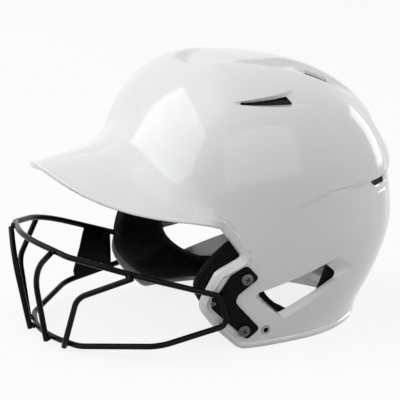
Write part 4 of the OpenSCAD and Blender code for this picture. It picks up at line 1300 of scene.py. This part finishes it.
EAR_PAD_OUTLINE = ((-51, 42), (-48, 58), (-36, 76), (-20, 90), (4, 98), (38, 97), (70, 88),
                   (90, 66), (88, 40), (66, 16), (38, 6), (6, 4), (-16, 5), (-35.5, 22))
EAR_HOLE_OUTLINE = ((1, 45), (0, 53), (5, 60), (14, 64), (26, 67), (42, 68), (56, 67),
                    (64, 59), (64, 45), (57, 29), (46, 19), (31, 20), (18, 28), (6, 37))


def closed_spline(points, count):
    """A smooth closed curve drawn in from its corner points."""
    points = np.asarray(points, float)
    t = np.arange(count) * len(points) / count
    k = np.floor(t).astype(int)
    f = (t - k)[:, None]
    corners = [points[(k + shift) % len(points)] for shift in (-1, 0, 1, 2)]
    weights = (1 - f) ** 3, 3 * f**3 - 6 * f**2 + 4, -3 * f**3 + 3 * f**2 + 3 * f + 1, f**3
    return sum(corner * weight for corner, weight in zip(corners, weights)) / 6


def ear_ring_grid(side, around=120, across=18):
    hole, outline = closed_spline(EAR_HOLE_OUTLINE, around), closed_spline(EAR_PAD_OUTLINE, around)
    j = np.linspace(0, 1, across + 1)
    flat = mix(hole[:, None], outline[:, None], mix(0.5, j, 0.98)[None, :, None])
    seat = mix(hole[:, None], outline[:, None], mix(0.5, j, 0.8)[None, :, None])
    crown = np.sqrt(1 - np.abs(2 * j - 1) ** 2.5)
    turn = np.arange(around)[:, None] / around
    tufts = 1 - 0.16 * np.exp(-(((turn * 7) % 1 - 0.5) / 0.09) ** 2) * crown
    depth = (EAR_PAD - EAR_FILL_ROOM) * (0.25 + 0.75 * crown) * tufts
    back = FOAM_BACK + SEAT_GAP
    front = side_point(flat[..., 0], flat[..., 1], back + depth) * (side, 1, 1)
    rear = side_point(seat[..., 0], seat[..., 1], np.full(depth.shape, back)) * (side, 1, 1)
    return front, rear


# Room behind the flap for a tee nut and for the snap of a strap: diameter and depth
NUT_ROOM, SNAP_ROOM = (12.0, FOAM_BACK + 5), (9.0, FOAM_BACK + 1.2)


def ear_hollow(side, place, diameter, depth):
    centre = side_point(*place) * (side, 1, 1)
    r = diameter / 2 + 1.4
    return lathe("hollow", ((r, -depth - 2.0), (r, 2.0)), centre, outward(side, *place), 24)


def build_ear_pads():
    for side, mark in SIDES:
        front, rear = ear_ring_grid(side)
        edge = mix(front, rear, 0.5)
        pad = slab(mark + "_ear_pad", front, rear, wraps=True)
        hollows = [ear_hollow(side, place, *NUT_ROOM) for place in SCREWS]
        hollows.append(ear_hollow(side, INSERT, *SNAP_ROOM))
        pad = smooth_once(puff(cut(pad, hollows), 3.8))
        seams = [piping("seam", edge[:, -1], 0.8), piping("seam", edge[:, 0], 0.8)]
        whole = joined(mark + "_ear_pad_cover", [pad, *seams])
        finish_piece(whole, KNIT_FINISH, [mark + "_ear_pad"], 60)


# Camera, light and floor

VIEW_TURN, VIEW_RISE, VIEW_FAR = 64.6, 14.6, 1600.0
VIEW_TARGET = (0.0, -8.0, 91.0)
PIXELS_PER_MM, PHOTO_W, SENSOR_W = 1.318, 400, 36.0


def metres(point):
    return Vector((point[0], point[1] + EAR_LINE, point[2])) * MM


def aim(piece, place, target):
    piece.location = metres(place)
    piece.rotation_euler = (metres(target) - metres(place)).to_track_quat("-Z", "Y").to_euler()


def build_camera():
    camera = bpy.data.objects.new("photo_camera", bpy.data.cameras.new("photo_camera"))
    bpy.context.scene.collection.objects.link(camera)
    camera.data.sensor_width = SENSOR_W
    camera.data.lens = PIXELS_PER_MM * VIEW_FAR * SENSOR_W / PHOTO_W
    turn, rise = radians(VIEW_TURN), radians(VIEW_RISE)
    back = np.array([sin(turn) * cos(rise), -cos(turn) * cos(rise), sin(rise)])
    aim(camera, np.array(VIEW_TARGET) + back * VIEW_FAR, VIEW_TARGET)
    camera.data.clip_start, camera.data.clip_end = 0.05, 50
    bpy.context.scene.camera = camera


def soft_box(name, place, width, height, brightness, target=(0, 0, 100)):
    """A rectangular lamp whose face is this many times as bright as paper white."""
    lamp = bpy.data.objects.new(name, bpy.data.lights.new(name, "AREA"))
    bpy.context.scene.collection.objects.link(lamp)
    lamp.data.shape = "RECTANGLE"
    lamp.data.size, lamp.data.size_y = width * MM, height * MM
    lamp.data.energy = brightness * pi * width * height * MM * MM
    aim(lamp, place, target)


ROOM_LEVEL = 0.56
FLOOR_HALF, FLOOR_DROP = 6000, 0.02


def build_studio():
    soft_box("front_box", (-604, -1659, 1039), 3200, 1600, 1.43)
    soft_box("rear_strip", (-150, 725, 200), 270, 320, 1.9, (50, 110, 140))
    soft_box("side_card", (1750, 450, 600), 2600, 1700, 0.64)
    soft_box("top_box", (0, -900, 1800), 1500, 1500, 0.48)
    room = Nodes(bpy.data.worlds.new("studio"))
    level = ROOM_LEVEL + room.seen() * (1 - ROOM_LEVEL)
    wall = room.add("ShaderNodeBackground", None, {"Color": (1, 1, 1, 1), "Strength": level})
    room.add("ShaderNodeOutputWorld", None, {"Surface": wall})
    bpy.context.scene.world = room.owner
    corners = [(a * FLOOR_HALF, b * FLOOR_HALF, -FLOOR_DROP) for a, b in SQUARE]
    floor = piece_from("floor", corners, [(0, 1, 2, 3)])
    floor.data.materials.append(studio_white())
    bpy.context.scene.view_settings.view_transform = "Standard"


def dress_fittings():
    """The tee nuts and strap inserts keep their own shape and get a metal finish."""
    for name, finish in (("mask_tee_nuts", SCREW_FINISH), ("left_strap_insert", INSERT_FINISH),
                         ("right_strap_insert", INSERT_FINISH)):
        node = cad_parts[name]
        node.data.materials.clear()
        node.data.materials.append(finish)


build_camera()
build_studio()
build_shell()
build_liners()
build_pads()
build_ear_pads()
build_rings()
build_bars()
build_plates()
build_label_plate()
build_fasteners()
dress_fittings()
